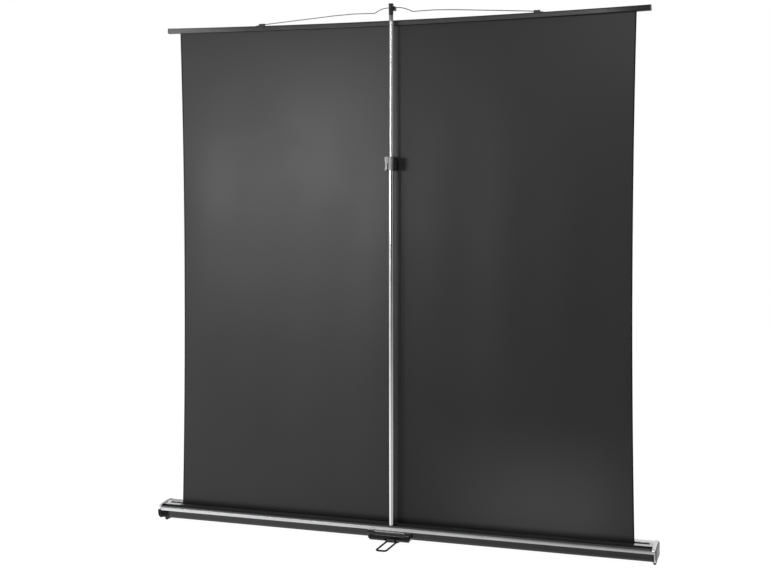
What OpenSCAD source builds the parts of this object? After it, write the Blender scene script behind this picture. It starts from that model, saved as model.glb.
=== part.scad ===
// Portable pull-up projection screen: a slim floor case with a spring roller, a fabric that is
// pulled up to a telescopic pole behind it, and a swivelling wire foot under the middle.
// Millimetres, Z up, floor at Z = 0. The picture side faces -Y and the pole stands on the +Y side.

/* [Fabric] */
// Width of the fabric
fabric_w = 1860; // [1200:10:2400]
// Height of fabric between the case slot and the middle of the top bar
fabric_h = 1934; // [1500:2:2200]
// Thickness of the fabric
fabric_t = 0.5; // [0.3:0.1:0.8]
// How far each side edge draws in halfway up
edge_bow = 10; // [0:1:20]
// Turns of fabric that stay on the roller
spare_turns = 2; // [1:1:4]

/* [Case] */
// How far the case runs past the fabric at each end
case_margin = 70; // [60:1:150]
// Depth of the case in front of the fabric
case_front = 47; // [46:1:60]
// Depth of the case behind the fabric
case_back = 60; // [60:1:75]
// Height of the case underside above the floor
case_base = 19; // [18:1:30]
// Height of the case from its underside to the rear lip of the slot
case_h = 54; // [54:1:70]
// Wall of the case extrusion
wall = 2; // [1.6:0.2:2.4]
// Width of the slot in front of the fabric
slot_front = 8; // [6:0.5:10]
// Width of the slot behind the fabric
slot_rear = 6; // [5:0.5:8]
// How much the front lip stands above the rear lip
lip_rise = 4; // [0:1:6]
// How much the rear lip falls towards the groove
lip_fall = 3; // [0:0.5:4]
// Height of the rounded bright shoulder at the back
shoulder_h = 18; // [14:1:20]

/* [Case ends] */
// Thickness of an end frame
frame_t = 7; // [6:1:10]
// Depth of an end cover outside its frame
cover_d = 9; // [6:1:12]
// Length of a foot block, front to back
foot_l = 50; // [30:1:60]
// Thickness of a rubber foot pad
pad_t = 3; // [2:0.5:4]

/* [Roller] */
// Outer radius of the roller tube
roller_r = 16; // [14:0.5:17]
// Wall of the roller tube
roller_wall = 1.2; // [1:0.1:1.6]
// Wire radius of the return spring
spring_wire_r = 1; // [0.8:0.1:1.2]
// Turns of the return spring
spring_turns = 22; // [10:1:24]

/* [Top bar] */
// How far the top bar runs past the fabric at each end
bar_margin = 52; // [20:1:130]
// Depth of the top bar
bar_d = 24; // [20:1:28]
// Height of the top bar
bar_h = 21; // [18:1:24]
// How far the middle of the top bar hangs below its ends
bar_bow = 12; // [0:1:16]

/* [Bail] */
// Wire radius of the bail
bail_r = 1.7; // [1.2:0.1:2]
// Distance of each bail pivot from the middle
bail_span = 548; // [400:1:700]
// Height of the middle of the bail above its pivots
bail_lift = 37; // [30:1:45]
// Distance of the middle of the bail behind the fabric
bail_back = 20; // [16:1:22]

/* [Pole] */
// Distance of the pole axis behind the fabric
pole_back = 40; // [38:1:44]
// Outer radius of the lower tube
lower_r = 10; // [9.6:0.1:10.4]
// Outer radius of the upper tube
upper_r = 8; // [7.4:0.1:8.2]
// Wall of both tubes
tube_wall = 1; // [0.8:0.1:1]
// Height of the top of the lock above the floor
lock_top = 1500; // [1200:10:1520]
// Height of the lock
lock_h = 55; // [50:1:60]
// Height of the pole head
head_h = 44; // [40:1:50]
// Height of the top of the head above the wire that it carries
head_over = 13; // [12:1:18]

/* [Foot] */
// Length of the foot bracket along the case
bracket_l = 180; // [160:2:220]
// Rod radius of the wire foot
rod_r = 3.5; // [2.5:0.5:4]
// Distance between the outsides of the two rods
loop_w = 47; // [40:1:56]
// Distance from the swivel to the outer end of the wire foot
loop_reach = 154; // [120:1:180]
// Distance of the swivel behind the fabric
swivel_back = 18; // [16:1:18]

/* [Hidden] */
$fn = 48;

// Small gaps that a fit, a running pair and two loose neighbours leave
press_gap = 0.02;
run_gap = 0.05;
loose_gap = 0.3;
// Extra depth that a cut runs past a face
past = 1;

// Colours as the object shows them
c_black = [0.05, 0.05, 0.055];
c_body = [0.19, 0.19, 0.2];
c_silver = [0.82, 0.83, 0.85];
c_steel = [0.62, 0.63, 0.65];
c_rubber = [0.07, 0.07, 0.07];
c_fabric = [0.2, 0.2, 0.21];
c_brass = [0.72, 0.58, 0.3];
c_felt = [0.12, 0.12, 0.12];

// Lengths that follow the fabric
case_l = fabric_w + 2 * case_margin;
bar_l = fabric_w + 2 * bar_margin;

// Case section, heights above the floor
case_top = case_base + case_h;
front_top = case_top + lip_rise;
groove_top = case_top - lip_fall;
groove_w = 2 * (lower_r + 1);
groove_front = pole_back - groove_w / 2;
groove_back = pole_back + groove_w / 2;
groove_floor = groove_top - 23;
groove_seam = groove_top - 5;
front_seam = front_top - 12;
rear_seam = groove_top - shoulder_h;
front_r = 9;
base_front_r = 14;
base_rear_r = 24;
shoulder_low_r = 8;
shoulder_top_r = 3;
shoulder_slope = 5.5;
lip_drop = 6;
cover_wall = 1.8;
port_r = 1.9;
port_boss_r = 4;

// Roller and the fabric that leaves it straight up through the slot
roll_r = roller_r + spare_turns * fabric_t;
roller_front = roll_r + fabric_t / 2 + loose_gap;
roller_z = case_base + wall + 24.3;
roller_room = 50;
roller_l = case_l - 2 * roller_room;
roller_flange = 3;
plug_l = 30;
pin_r = 4;
bush_r = 6;
bush_l = 18;
boss_r = 11;
boss_l = 12;
spindle_r = 5;
spindle_l = 350;
spring_r = 9;
spring_l = 200;
spring_x = roller_l / 2 - plug_l - spring_l - spring_wire_r - 0.3;
anchor_l = 20;

// Ends
frame_x = case_l / 2;
cover_x = frame_x + frame_t;
cover_edge = 1.5;
cap_grow = 1;
foot_w = frame_t + 1;
foot_back = 8;
slot_plug_l = 15;

// Top bar and bail
bar_z = case_top + fabric_h;
bar_cap_t = 4;
bar_steps = 12;
keder_r = 2.5;
keder_rise = 6.5;
keder_way = 3.2;
bar_wall = 1.6;
clip_x = bail_span + 2;
clip_seat = bar_z + bar_h + bow_at(clip_x);
pivot_rise = 6;
pivot_z = clip_seat + pivot_rise;
bail_tilt = atan2(bail_lift, bail_back);
bail_hump = norm([bail_lift, bail_back]);
bail_kink = 23;
bail_kink_x = 80;
bail_slope = 27;
bail_rise = 3;
bail_bend_r = 100;
bail_kink_r = 8;
bail_end_r = 20;
bail_skin = 0.02;
clip_l = 24;
clip_w = 14;
clip_base = 1.6;
clip_r = 3.6;
clip_tab = 12;
clip_screw_x = clip_x + clip_l + clip_tab / 2;
clip_screw_seat = bar_z + bar_h + bow_at(clip_screw_x) + 0.1;

// Pole
socket_r = lower_r + 2;
socket_flange = 2;
socket_side = 1.2;
socket_l = 56;
socket_floor = 1.5;
pole_z = under_wall(pole_back + lower_r) + socket_floor;
foot_plug_t = 2;
lock_z = lock_top - lock_h;
collar_step = lock_top - 20;
collar_r = lower_r + 4;
overlap = 160;
head_r = upper_r + 0.8;
head_z = pivot_z + bail_lift + head_over - head_h;
head_bore = 22;
hook_w = 24;
bush_len = 25;

// Lock lever
cam_x = lower_r + 7.5;
cam_z = lock_top - 10;
cam_r = 6.2;
cam_shift = 0.6;
cam_room = cam_r + cam_shift + 0.4;
lever_w = 11.4;
lever_room = 12;
lug_t = 3;
lug_out = cam_x + 6.5;
lock_pin_r = 2;
ear_out = 26;
ear_w = 13;
ear_slit = 1.5;
lock_screw_r = 2;

// Foot
bracket_z = case_base - 6;
bracket_back = case_back + 16;
hub_z = 0.6;
washer_t = 1;
hub_top = bracket_z - washer_t;
hub_l = 44;
hub_in = 26;
loop_x = loop_w / 2 - rod_r;
loop_bend = 12;
pivot_r = 4;
pivot_head_r = 7;
pivot_head_t = 3;
nut_t = 6.5;
nut_flats = 13;
bracket_screw_x = 45;
bracket_screw_r = 2;

// The frame's origin lies halfway between the front of the case and the end of the wire foot
screen_y = (case_front + cap_grow + cover_edge - swivel_back - loop_reach) / 2;

// Plane geometry: rounded outlines, and a wall of even thickness along a line
function unit(v) = v / norm(v);
function left_of(v) = [-v[1], v[0]];
function turn_of(u, v) = atan2(u[0] * v[1] - u[1] * v[0], u * v);
function spin(v, a) = [v[0] * cos(a) - v[1] * sin(a), v[0] * sin(a) + v[1] * cos(a)];
function flat(p) = [p[0], p[1]];

function corner(a, p, b, r, step = 9) =
    let(
        u = unit(p - a),
        v = unit(b - p),
        turn = turn_of(u, v),
        start = p - u * r * tan(abs(turn) / 2),
        centre = start + left_of(u) * r * sign(turn),
        n = ceil(abs(turn) / step)
    )
    (r <= 0 || abs(turn) < 0.5) ? [p] : [for (k = [0:n]) centre + spin(start - centre, turn * k / n)];

function rounded(pts) =
    let(n = len(pts))
    [for (i = [0:n - 1])
        each corner(flat(pts[(i + n - 1) % n]), flat(pts[i]), flat(pts[(i + 1) % n]), pts[i][2])];

function rounded_line(pts) =
    let(n = len(pts))
    [for (i = [0:n - 1])
        each (i == 0 || i == n - 1)
            ? [flat(pts[i])]
            : corner(flat(pts[i - 1]), flat(pts[i]), flat(pts[i + 1]), pts[i][2])];

function stepped(pts, t) =
    let(n = len(pts))
    [for (i = [0:n - 1])
        let(
            u = unit(flat(pts[max(i, 1)]) - flat(pts[max(i, 1) - 1])),
            v = unit(flat(pts[min(i + 1, n - 1)]) - flat(pts[min(i, n - 2)])),
            mid = unit(left_of(u) + left_of(v)),
            p = flat(pts[i]) + mid * t / (mid * left_of(u)),
            r = i == 0 || i == n - 1 ? 0 : pts[i][2]
        )
        [p[0], p[1], max(r - sign(turn_of(u, v)) * t, 0)]];

function backwards(pts) = [for (i = [len(pts) - 1:-1:0]) pts[i]];

// A wall of thickness t on the left of a line of corners [y, z, radius]
function strip(pts, t) = concat(rounded_line(pts), backwards(rounded_line(stepped(pts, t))));

// Outline of the case ends, grown by g all round
function end_corners(g) = [
    [-case_front - g, case_base - g, base_front_r + g],
    [case_back + g, case_base - g, base_rear_r + g],
    [case_back + g, groove_top - shoulder_slope + g / 2, max(shoulder_low_r + g, 1)],
    [groove_back + g / 2, groove_top + g, shoulder_top_r],
    [-slot_front, front_top + g, 2 * front_r],
    [-case_front - g, front_top + g, front_r + g]
];

// Outline of the case extrusion
function case_corners() = [
    [-case_front, case_base, base_front_r],
    [case_back, case_base, base_rear_r],
    [case_back, groove_top - shoulder_slope, shoulder_low_r],
    [groove_back, groove_top, 0],
    [slot_rear, case_top, 0],
    [-slot_front, front_top, 0],
    [-case_front, front_top, front_r]
];

// Height of the inside of the case bottom at a distance y behind the fabric
function under_wall(y) =
    let(side = max(y - case_back + base_rear_r, 0))
    case_base + base_rear_r - sqrt(pow(base_rear_r - wall, 2) - side * side);

// Places of the four screw ports in the case section
ports = [
    [-case_front + wall + 5, case_base + wall + 5],
    [-case_front + wall + 3.4, front_seam - 5.6],
    [case_back - wall - 8, case_base + wall + 9],
    [groove_front - 25, case_base + wall + 3.4]
];

// Extrudes a section drawn in Y and Z along X, centred
module along_x(length) {
    rotate([90, 0, 90]) linear_extrude(height = length, center = true) children();
}

// Extrudes a section drawn in Y and Z along X from x
module from_x(x, length) {
    translate([x, 0, 0]) rotate([90, 0, 90]) linear_extrude(height = length) children();
}

// Extrudes a section drawn in X and Z along Y, centred
module along_y(length) {
    rotate([90, 0, 0]) linear_extrude(height = length, center = true) children();
}

module rod_x(x, length, r) {
    translate([x, 0, 0]) rotate([0, 90, 0]) cylinder(h = length, r = r);
}

module rod_y(length, r) {
    rotate([90, 0, 0]) cylinder(h = length, r = r, center = true);
}

module both_ends() {
    children();
    mirror([1, 0, 0]) children();
}

// Puts what is drawn about the fabric plane into the frame of the part
module placed() {
    translate([0, screen_y, 0]) children();
}

module at_roller() {
    placed() translate([0, -roller_front, roller_z]) children();
}

module at_pole() {
    placed() translate([0, pole_back, 0]) children();
}

module at_swivel() {
    placed() translate([0, swivel_back, 0]) children();
}

// Path in the XZ plane as points [x, z, heading], drawn from runs [length] and bends [radius, angle].
// A positive angle turns up.
function trace(parts, p = [0, 0, 0], i = 0) =
    i == len(parts)
        ? [p]
        : len(parts[i]) == 1
            ? concat([p], trace(parts, ahead(p, parts[i][0]), i + 1))
            : concat(
                [for (k = [0:bend_steps(parts[i][1]) - 1])
                    around(p, parts[i][0], parts[i][1] * k / bend_steps(parts[i][1]))],
                trace(parts, around(p, parts[i][0], parts[i][1]), i + 1)
            );

function bend_steps(angle) = max(2, ceil(abs(angle) / 4));
function ahead(p, run) = [p[0] + run * cos(p[2]), p[1] + run * sin(p[2]), p[2]];
function around(p, r, angle) =
    let(side = sign(angle), a = p[2] + angle)
    [p[0] + side * r * (sin(a) - sin(p[2])), p[1] - side * r * (cos(a) - cos(p[2])), a];

function ring(r, sides) = [for (k = [0:sides - 1]) let(a = 360 * k / sides) [r * cos(a), r * sin(a)]];

// Sweeps a closed profile [y, z] along a path of points [x, z, heading]
module swept(path, profile) {
    n = len(path);
    m = len(profile);
    points = [for (p = path) for (q = profile)
        [p[0] - sin(p[2]) * q[1], q[0], p[1] + cos(p[2]) * q[1]]];
    sheath = [for (i = [0:n - 2]) for (k = [0:m - 1])
        let(a = i * m + k, b = i * m + (k + 1) % m)
        each [[a, a + m, b], [b, a + m, b + m]]];
    start_cap = [for (k = [0:m - 1]) k];
    end_cap = [for (k = [m - 1:-1:0]) (n - 1) * m + k];
    polyhedron(points, concat(sheath, [start_cap, end_cap]));
}

// Main extrusion of the case: tub, partition, groove for the pole and screw ports
module case_section() {
    tub = [
        [-case_front, front_seam],
        [-case_front, case_base, base_front_r],
        [case_back, case_base, base_rear_r],
        [case_back, rear_seam]
    ];
    groove = [
        [groove_front - wall, groove_floor - wall],
        [groove_back + wall, groove_floor - wall, wall + 1],
        [groove_back + wall, groove_seam]
    ];
    difference() {
        union() {
            polygon(strip(tub, wall));
            polygon(strip(groove, wall));
            translate([groove_front - wall, case_base + wall / 2])
                square([wall, groove_seam - case_base - wall / 2]);
            translate([groove_back + wall / 2, rear_seam - wall - 1])
                square([case_back - groove_back - wall, wall]);
            intersection() {
                polygon(rounded(end_corners(-wall / 2)));
                for (p = ports) translate(p) circle(r = port_boss_r);
            }
        }
        for (p = ports) translate(p) circle(r = port_r);
    }
}

module case_body() {
    color(c_body) placed() difference() {
        along_x(case_l) case_section();
        translate([0, pole_back, case_base + wall])
            cylinder(h = groove_floor + past - case_base - wall, r = socket_r + run_gap);
        translate([0, swivel_back, case_base - past]) cylinder(h = wall + 2 * past, r = pivot_r + run_gap);
        for (s = [-1, 1])
            translate([s * bracket_screw_x, swivel_back, case_base - past])
                cylinder(h = wall + 2 * past, r = bracket_screw_r + run_gap);
    }
}

// Bright front cover: rounded front edge, front lip of the slot and a tongue behind the case wall
module case_front_cover() {
    shell = [
        [-slot_front, front_top - lip_drop],
        [-slot_front, front_top, 1],
        [-case_front, front_top, front_r],
        [-case_front, front_seam]
    ];
    color(c_silver) placed() along_x(case_l) {
        polygon(strip(shell, cover_wall));
        translate([-case_front + wall, front_seam - 1.2]) square([cover_wall, 4]);
        translate([-case_front + cover_wall / 2, front_seam]) square([cover_wall, 2]);
    }
}

// Bright rear lip of the slot, which ends at the groove
module case_rear_lip() {
    shell = [
        [groove_front, groove_seam],
        [groove_front, groove_top + lip_fall * (1 - groove_front / groove_back), 0.3],
        [slot_rear, case_top, 1],
        [slot_rear, case_top - lip_drop]
    ];
    color(c_silver) placed() along_x(case_l) polygon(strip(shell, cover_wall));
}

// Bright rounded shoulder along the back of the case
module case_shoulder_trim() {
    shell = [
        [case_back, rear_seam],
        [case_back, groove_top - shoulder_slope, shoulder_low_r],
        [groove_back, groove_top, 0.4],
        [groove_back, groove_seam]
    ];
    color(c_silver) placed() along_x(case_l) polygon(strip(shell, cover_wall));
}

// Felt strips that guide the fabric and keep dust out of the case
module slot_guides() {
    felt_h = 4;
    felt_gap = 1.2;
    color(c_felt) placed() along_x(case_l - 2 * slot_plug_l) {
        translate([-slot_front, front_top - lip_drop]) square([slot_front - felt_gap, felt_h]);
        translate([felt_gap, case_top - lip_drop]) square([slot_rear - felt_gap, felt_h]);
    }
}

// Plugs that close the slot at both ends
module slot_plugs() {
    color(c_silver) placed() both_ends() from_x(frame_x - slot_plug_l, slot_plug_l)
        polygon([
            [-slot_front, case_top - lip_drop],
            [slot_rear, case_top - lip_drop],
            [slot_rear, case_top],
            [-slot_front, front_top]
        ]);
}

// End frame: closes the case, carries the roller and stands on the foot pad
module end_frame() {
    color(c_black) placed() difference() {
        union() {
            from_x(frame_x, frame_t) polygon(rounded(end_corners(cap_grow)));
            translate([0, -roller_front, roller_z]) rod_x(frame_x - boss_l, boss_l + frame_t / 2, boss_r);
            difference() {
                from_x(cover_x - foot_w, foot_w) polygon(rounded([
                    [foot_back - foot_l, pad_t, 3],
                    [foot_back, pad_t, 3],
                    [foot_back + 8, case_base, 0],
                    [foot_back + 8, case_base + 6, 0],
                    [foot_back - foot_l + 4, case_base + 6, 0],
                    [foot_back - foot_l, case_base - 4, 4]
                ]));
                from_x(cover_x - foot_w - past, foot_w - frame_t + past) polygon(rounded(case_corners()));
            }
        }
        translate([0, -roller_front, roller_z])
            rod_x(frame_x - boss_l - past, boss_l + past + frame_t - 3, bush_r + press_gap);
        for (p = ports) {
            translate([0, p[0], p[1]]) rod_x(frame_x - past, frame_t + 2 * past, port_r + 0.3);
            translate([0, p[0], p[1]]) rod_x(cover_x - 3, 3 + past, 4.3);
        }
    }
}

module end_frame_left() {
    mirror([1, 0, 0]) end_frame();
}

module end_frame_right() {
    end_frame();
}

// One flat slice of the end cover
module cover_slice(x, t, g) {
    from_x(x, t) polygon(rounded(end_corners(g)));
}

// End cover: a domed bright shell outside the end frame, with a rim over the frame's top
module end_cover() {
    rim = cap_grow + cover_edge;
    color(c_silver) placed() {
        difference() {
            union() {
                cover_slice(cover_x, 2, rim);
                hull() {
                    cover_slice(cover_x + 2, 0.2, rim);
                    cover_slice(cover_x + cover_d * 0.55, 0.2, rim - 2);
                }
                hull() {
                    cover_slice(cover_x + cover_d * 0.55, 0.2, rim - 2);
                    cover_slice(cover_x + cover_d * 0.85, 0.2, rim - 6);
                }
                hull() {
                    cover_slice(cover_x + cover_d * 0.85, 0.2, rim - 6);
                    cover_slice(cover_x + cover_d - 0.2, 0.2, rim - 12);
                }
            }
            cover_slice(cover_x - past, past + 2, -2);
        }
        difference() {
            cover_slice(frame_x, frame_t, rim);
            cover_slice(frame_x - past, frame_t + 2 * past, cap_grow);
            translate([frame_x - past, -case_front - 2 * rim, -past])
                cube([frame_t + 2 * past, case_front + case_back + 4 * rim, rear_seam + past]);
        }
    }
}

module end_cover_left() {
    mirror([1, 0, 0]) end_cover();
}

module end_cover_right() {
    end_cover();
}

// Screws that hold both end frames in the ports of the case
module end_frame_screws() {
    color(c_steel) placed() both_ends() for (p = ports) translate([0, p[0], p[1]]) {
        rod_x(frame_x - 14, 14 + frame_t - 3, port_r - press_gap);
        difference() {
            rod_x(cover_x - 3, 2.4, 3.8);
            translate([cover_x - 2, 0, 0]) rotate([0, 90, 0]) cylinder(h = 3, r = 1.6, $fn = 6);
        }
    }
}

module foot_pads() {
    color(c_rubber) placed() both_ends() from_x(cover_x - foot_w, foot_w) polygon(rounded([
        [foot_back - foot_l, 0, 1.2],
        [foot_back, 0, 1.2],
        [foot_back, pad_t, 0],
        [foot_back - foot_l, pad_t, 0]
    ]));
}

module roller_tube() {
    color(c_silver) at_roller() difference() {
        rod_x(-roller_l / 2, roller_l, roller_r);
        rod_x(-roller_l / 2 - past, roller_l + 2 * past, roller_r - roller_wall);
    }
}

// Fabric that stays wound on the roller
module fabric_roll() {
    color(c_fabric) at_roller() difference() {
        rod_x(-fabric_w / 2, fabric_w, roll_r);
        rod_x(-fabric_w / 2 - past, fabric_w + 2 * past, roller_r);
    }
}

// Plug and axle at the free end of the roller
module roller_idle_plug() {
    in_r = roller_r - roller_wall - press_gap;
    color(c_black) at_roller() mirror([1, 0, 0]) {
        rod_x(roller_l / 2 - plug_l, plug_l, in_r);
        rod_x(roller_l / 2, roller_flange, roller_r);
        rod_x(roller_l / 2 + roller_flange, frame_x + 3 - roller_l / 2 - roller_flange, pin_r);
    }
}

// Plug at the spring end of the roller, which turns on the fixed spindle
module roller_spring_plug() {
    in_r = roller_r - roller_wall - press_gap;
    color(c_black) at_roller() difference() {
        union() {
            rod_x(roller_l / 2 - plug_l, plug_l, in_r);
            rod_x(roller_l / 2, roller_flange, roller_r);
        }
        rod_x(roller_l / 2 - plug_l - past, plug_l + roller_flange + 2 * past, spindle_r + run_gap);
    }
}

// Bearing bush in the end frame at the free end
module roller_bush() {
    color(c_brass) at_roller() mirror([1, 0, 0]) difference() {
        rod_x(frame_x + 4 - bush_l, bush_l, bush_r);
        rod_x(frame_x + 4 - bush_l - past, bush_l + 2 * past, pin_r + run_gap);
    }
}

// Fixed spindle of the spring, with a collar that fills the bore of its end frame
module spring_spindle() {
    color(c_steel) at_roller() {
        rod_x(frame_x + 4 - spindle_l, spindle_l, spindle_r);
        rod_x(frame_x - boss_l - 2, 2 + boss_l + 4, bush_r);
    }
}

// Return spring wound round the spindle inside the roller tube
module roller_spring() {
    sides = 6;
    per_turn = 10;
    rings = spring_turns * per_turn;
    pitch = spring_l / spring_turns;
    function ring_point(i, k) =
        let(
            a = 360 * i / per_turn,
            b = 360 * k / sides,
            reach = spring_r + spring_wire_r * cos(b)
        )
        [spring_x + pitch * i / per_turn + spring_wire_r * sin(b), reach * cos(a), reach * sin(a)];
    points = [for (i = [0:rings]) for (k = [0:sides - 1]) ring_point(i, k)];
    sheath = [for (i = [0:rings - 1]) for (k = [0:sides - 1]) for (half = [0, 1])
        let(a = i * sides + k, b = i * sides + (k + 1) % sides)
        half == 0 ? [a, a + sides, b] : [b, a + sides, b + sides]];
    start_cap = [for (k = [1:sides - 2]) [0, k, k + 1]];
    end_cap = [for (k = [1:sides - 2]) [rings * sides, rings * sides + k + 1, rings * sides + k]];
    echo(spring_gap = pitch - 2 * spring_wire_r);
    color(c_steel) at_roller() polyhedron(points, concat(sheath, start_cap, end_cap));
}

// Anchor that holds the inner end of the spring on the spindle
module spring_anchor() {
    anchor_x = spring_x - spring_wire_r - 0.3 - anchor_l;
    color(c_brass) at_roller() difference() {
        rod_x(anchor_x, anchor_l, spring_r + 3);
        rod_x(anchor_x - past, anchor_l + 2 * past, spindle_r);
    }
}

// Fabric between the roller and the top bar, drawn in a little at both edges
module screen_fabric() {
    half_w = fabric_w / 2;
    hem_z = bar_z + keder_rise - keder_r - 0.1;
    side_z = hem_z + bow_at(half_w);
    n = 20;
    right = [for (i = [0:n - 1])
        [half_w - edge_bow * 4 * (i / n) * (1 - i / n), roller_z + (side_z - roller_z) * i / n]];
    hem = [for (i = [0:n]) let(x = half_w * (1 - 2 * i / n)) [x, hem_z + bow_at(x)]];
    left = [for (p = backwards(right)) [-p[0], p[1]]];
    color(c_fabric) placed() along_y(fabric_t) polygon(concat(right, hem, left));
}

// Rod in the hem, which locks the fabric in the top bar
module hem_rod() {
    color(c_silver) placed() translate([0, 0, bar_z]) swept(
        bar_path(fabric_w),
        [for (q = ring(keder_r, 12)) [q[0], q[1] + keder_rise]]
    );
}

// Line of the bowed bar, and its height above the middle at x
function bow_at(x) = bar_bow * pow(2 * x / bar_l, 2);
function bow_turn(x) = atan(8 * bar_bow * x / (bar_l * bar_l));
function bar_path(length) = [for (i = [0:bar_steps])
    let(x = length * (i / bar_steps - 0.5))
    [x, bow_at(x), bow_turn(x)]];

// Sections of the bar in Y and Z above its underside; the groove below holds the hem rod
function bar_outline(g) = rounded([
    [-bar_d / 2 - g, -g, 3],
    [bar_d / 2 + g, -g, 3],
    [bar_d / 2 + g, bar_h + g, 6],
    [-bar_d / 2 - g, bar_h + g, 6]
]);

function bar_hollow(g) = rounded([
    [-bar_d / 2 + bar_wall + g, keder_rise + 5 + g, 2],
    [bar_d / 2 - bar_wall - g, keder_rise + 5 + g, 2],
    [bar_d / 2 - bar_wall - g, bar_h - bar_wall - g, 4],
    [-bar_d / 2 + bar_wall + g, bar_h - bar_wall - g, 4]
]);

function bar_keder() =
    let(r = keder_r + 0.6, mouth = asin(keder_way / 2 / r))
    concat(
        [[-keder_way / 2, -past], [keder_way / 2, -past]],
        [for (k = [0:12])
            let(a = mouth - 90 + (360 - 2 * mouth) * k / 12)
            [r * cos(a), keder_rise + r * sin(a)]]
    );

module top_bar() {
    length = bar_l - 2 * bar_cap_t;
    color(c_body) placed() translate([0, 0, bar_z]) difference() {
        swept(bar_path(length), bar_outline(0));
        swept(bar_path(length + 2 * past), bar_hollow(0));
        swept(bar_path(length + 2 * past), bar_keder());
    }
}

module top_bar_cap() {
    x = bar_l / 2 - bar_cap_t;
    color(c_black) placed() translate([x, 0, bar_z + bow_at(x)]) rotate([0, -bow_turn(x), 0]) {
        from_x(0, bar_cap_t) polygon(bar_outline(0.4));
        from_x(-12, 12) polygon(bar_hollow(0.15));
    }
}

module top_bar_cap_left() {
    mirror([1, 0, 0]) top_bar_cap();
}

module top_bar_cap_right() {
    top_bar_cap();
}

// Bends of the bail from its middle out to its end: a hump, a kink and a long shallow sweep
function bail_bends() =
    let(
        drop = bail_hump - bail_kink,
        kink_z = bail_kink_r * (cos(bail_rise) - cos(bail_slope)),
        ramp = (drop - bail_bend_r * (1 - cos(bail_slope)) - kink_z) / sin(bail_slope),
        kink_x = bail_kink_r * (sin(bail_slope) + sin(bail_rise)),
        hump_x = bail_bend_r * sin(bail_slope) + ramp * cos(bail_slope) + kink_x,
        run = bail_span - bail_kink_x,
        fall = 1.45 * atan2(bail_kink, run),
        turn = sin(bail_rise) + sin(fall),
        end_x = bail_end_r * sin(fall),
        end_z = bail_end_r * (1 - cos(fall)),
        level = cos(fall) - cos(bail_rise) + turn * tan(fall),
        sweep_r = (tan(fall) * (run - end_x) - bail_kink + end_z) / level
    )
    [
        [bail_kink_x - hump_x],
        [bail_bend_r, -bail_slope],
        [ramp],
        [bail_kink_r, bail_slope + bail_rise],
        [sweep_r, -bail_rise - fall],
        [(run - end_x - sweep_r * turn) / cos(fall)],
        [bail_end_r, fall],
        [bail_skin + 4]
    ];

// Frame of the bail: its pivots on the X axis, its plane upright
module at_bail() {
    color(c_steel) placed() translate([0, 0, pivot_z]) rotate([bail_tilt - 90, 0, 0]) children();
}

// Stiff wire bail, which lifts the top bar: the straight middle that is hooked over the pole head
module bail() {
    flat = bail_bends()[0][0];
    at_bail() translate([0, 0, bail_hump]) rod_x(-flat, 2 * flat, bail_r);
}

// One arm of the bail, from its straight middle out to its pivot
module bail_arm() {
    line = trace(bail_bends());
    arm = [for (i = [1:len(line) - 1]) line[i]];
    at_bail() {
        translate([0, 0, bail_hump]) swept(arm, ring(bail_r - bail_skin, 12));
        rod_x(bail_span, clip_l, bail_r);
    }
}

module bail_arm_left() {
    mirror([1, 0, 0]) bail_arm();
}

module bail_arm_right() {
    bail_arm();
}

// Clips on the top bar in which the ends of the bail turn
module bail_clips() {
    color(c_black) placed() both_ends() difference() {
        union() {
            translate([0, 0, pivot_z]) rod_x(clip_x, clip_l, clip_r);
            from_x(clip_x, clip_l) polygon([
                [-clip_r, pivot_z],
                [-clip_w / 2, clip_seat + clip_base],
                [-clip_w / 2, clip_seat - 1],
                [clip_w / 2, clip_seat - 1],
                [clip_w / 2, clip_seat + clip_base],
                [clip_r, pivot_z]
            ]);
            translate([clip_x + clip_l, -clip_w / 2, clip_seat - 1])
                cube([clip_tab, clip_w, clip_screw_seat + clip_base + 1 - clip_seat]);
        }
        translate([0, 0, pivot_z]) rod_x(clip_x - past, clip_l + past - 1, bail_r + run_gap);
        translate([clip_screw_x, 0, clip_seat - 2]) cylinder(h = 8, r = 1.6);
        translate([0, 0, bar_z]) swept(bar_path(bar_l - 2 * bar_cap_t), bar_outline(0));
    }
}

module bail_clip_screws() {
    color(c_steel) placed() both_ends() translate([clip_screw_x, 0, clip_screw_seat]) {
        translate([0, 0, clip_base]) difference() {
            cylinder(h = 1.8, r = 3);
            translate([0, 0, 1]) cylinder(h = past + 1, r = 1.2, $fn = 6);
        }
        cylinder(h = clip_base, r = 1.5);
    }
}

// Socket in the groove, which takes the foot of the pole
module pole_socket() {
    flange_w = groove_w - 2 * socket_side;
    color(c_black) at_pole() difference() {
        union() {
            intersection() {
                translate([0, 0, case_base + wall])
                    cylinder(h = groove_floor - case_base - wall, r = socket_r);
                translate([0, -pole_back, 0]) along_x(socket_l) polygon(rounded([
                    [0, case_base + wall, 0],
                    [case_back - wall, case_base + wall, base_rear_r - wall],
                    [case_back - wall, case_top, 0],
                    [0, case_top, 0]
                ]));
            }
            translate([0, 0, groove_floor]) linear_extrude(height = socket_flange) polygon(rounded([
                [-socket_l / 2, -flange_w / 2, 3],
                [socket_l / 2, -flange_w / 2, 3],
                [socket_l / 2, flange_w / 2, 3],
                [-socket_l / 2, flange_w / 2, 3]
            ]));
        }
        translate([0, 0, pole_z]) cylinder(h = case_top - pole_z, r = lower_r + run_gap);
    }
}

module tube(z, length, r) {
    translate([0, 0, z]) difference() {
        cylinder(h = length, r = r);
        translate([0, 0, -past]) cylinder(h = length + 2 * past, r = r - tube_wall);
    }
}

module pole_lower_tube() {
    z = pole_z + foot_plug_t;
    color(c_silver) at_pole() tube(z, collar_step - z, lower_r);
}

module pole_foot_plug() {
    color(c_black) at_pole() translate([0, 0, pole_z]) {
        cylinder(h = foot_plug_t, r = lower_r);
        cylinder(h = foot_plug_t + 20, r = lower_r - tube_wall - press_gap);
    }
}

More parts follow.
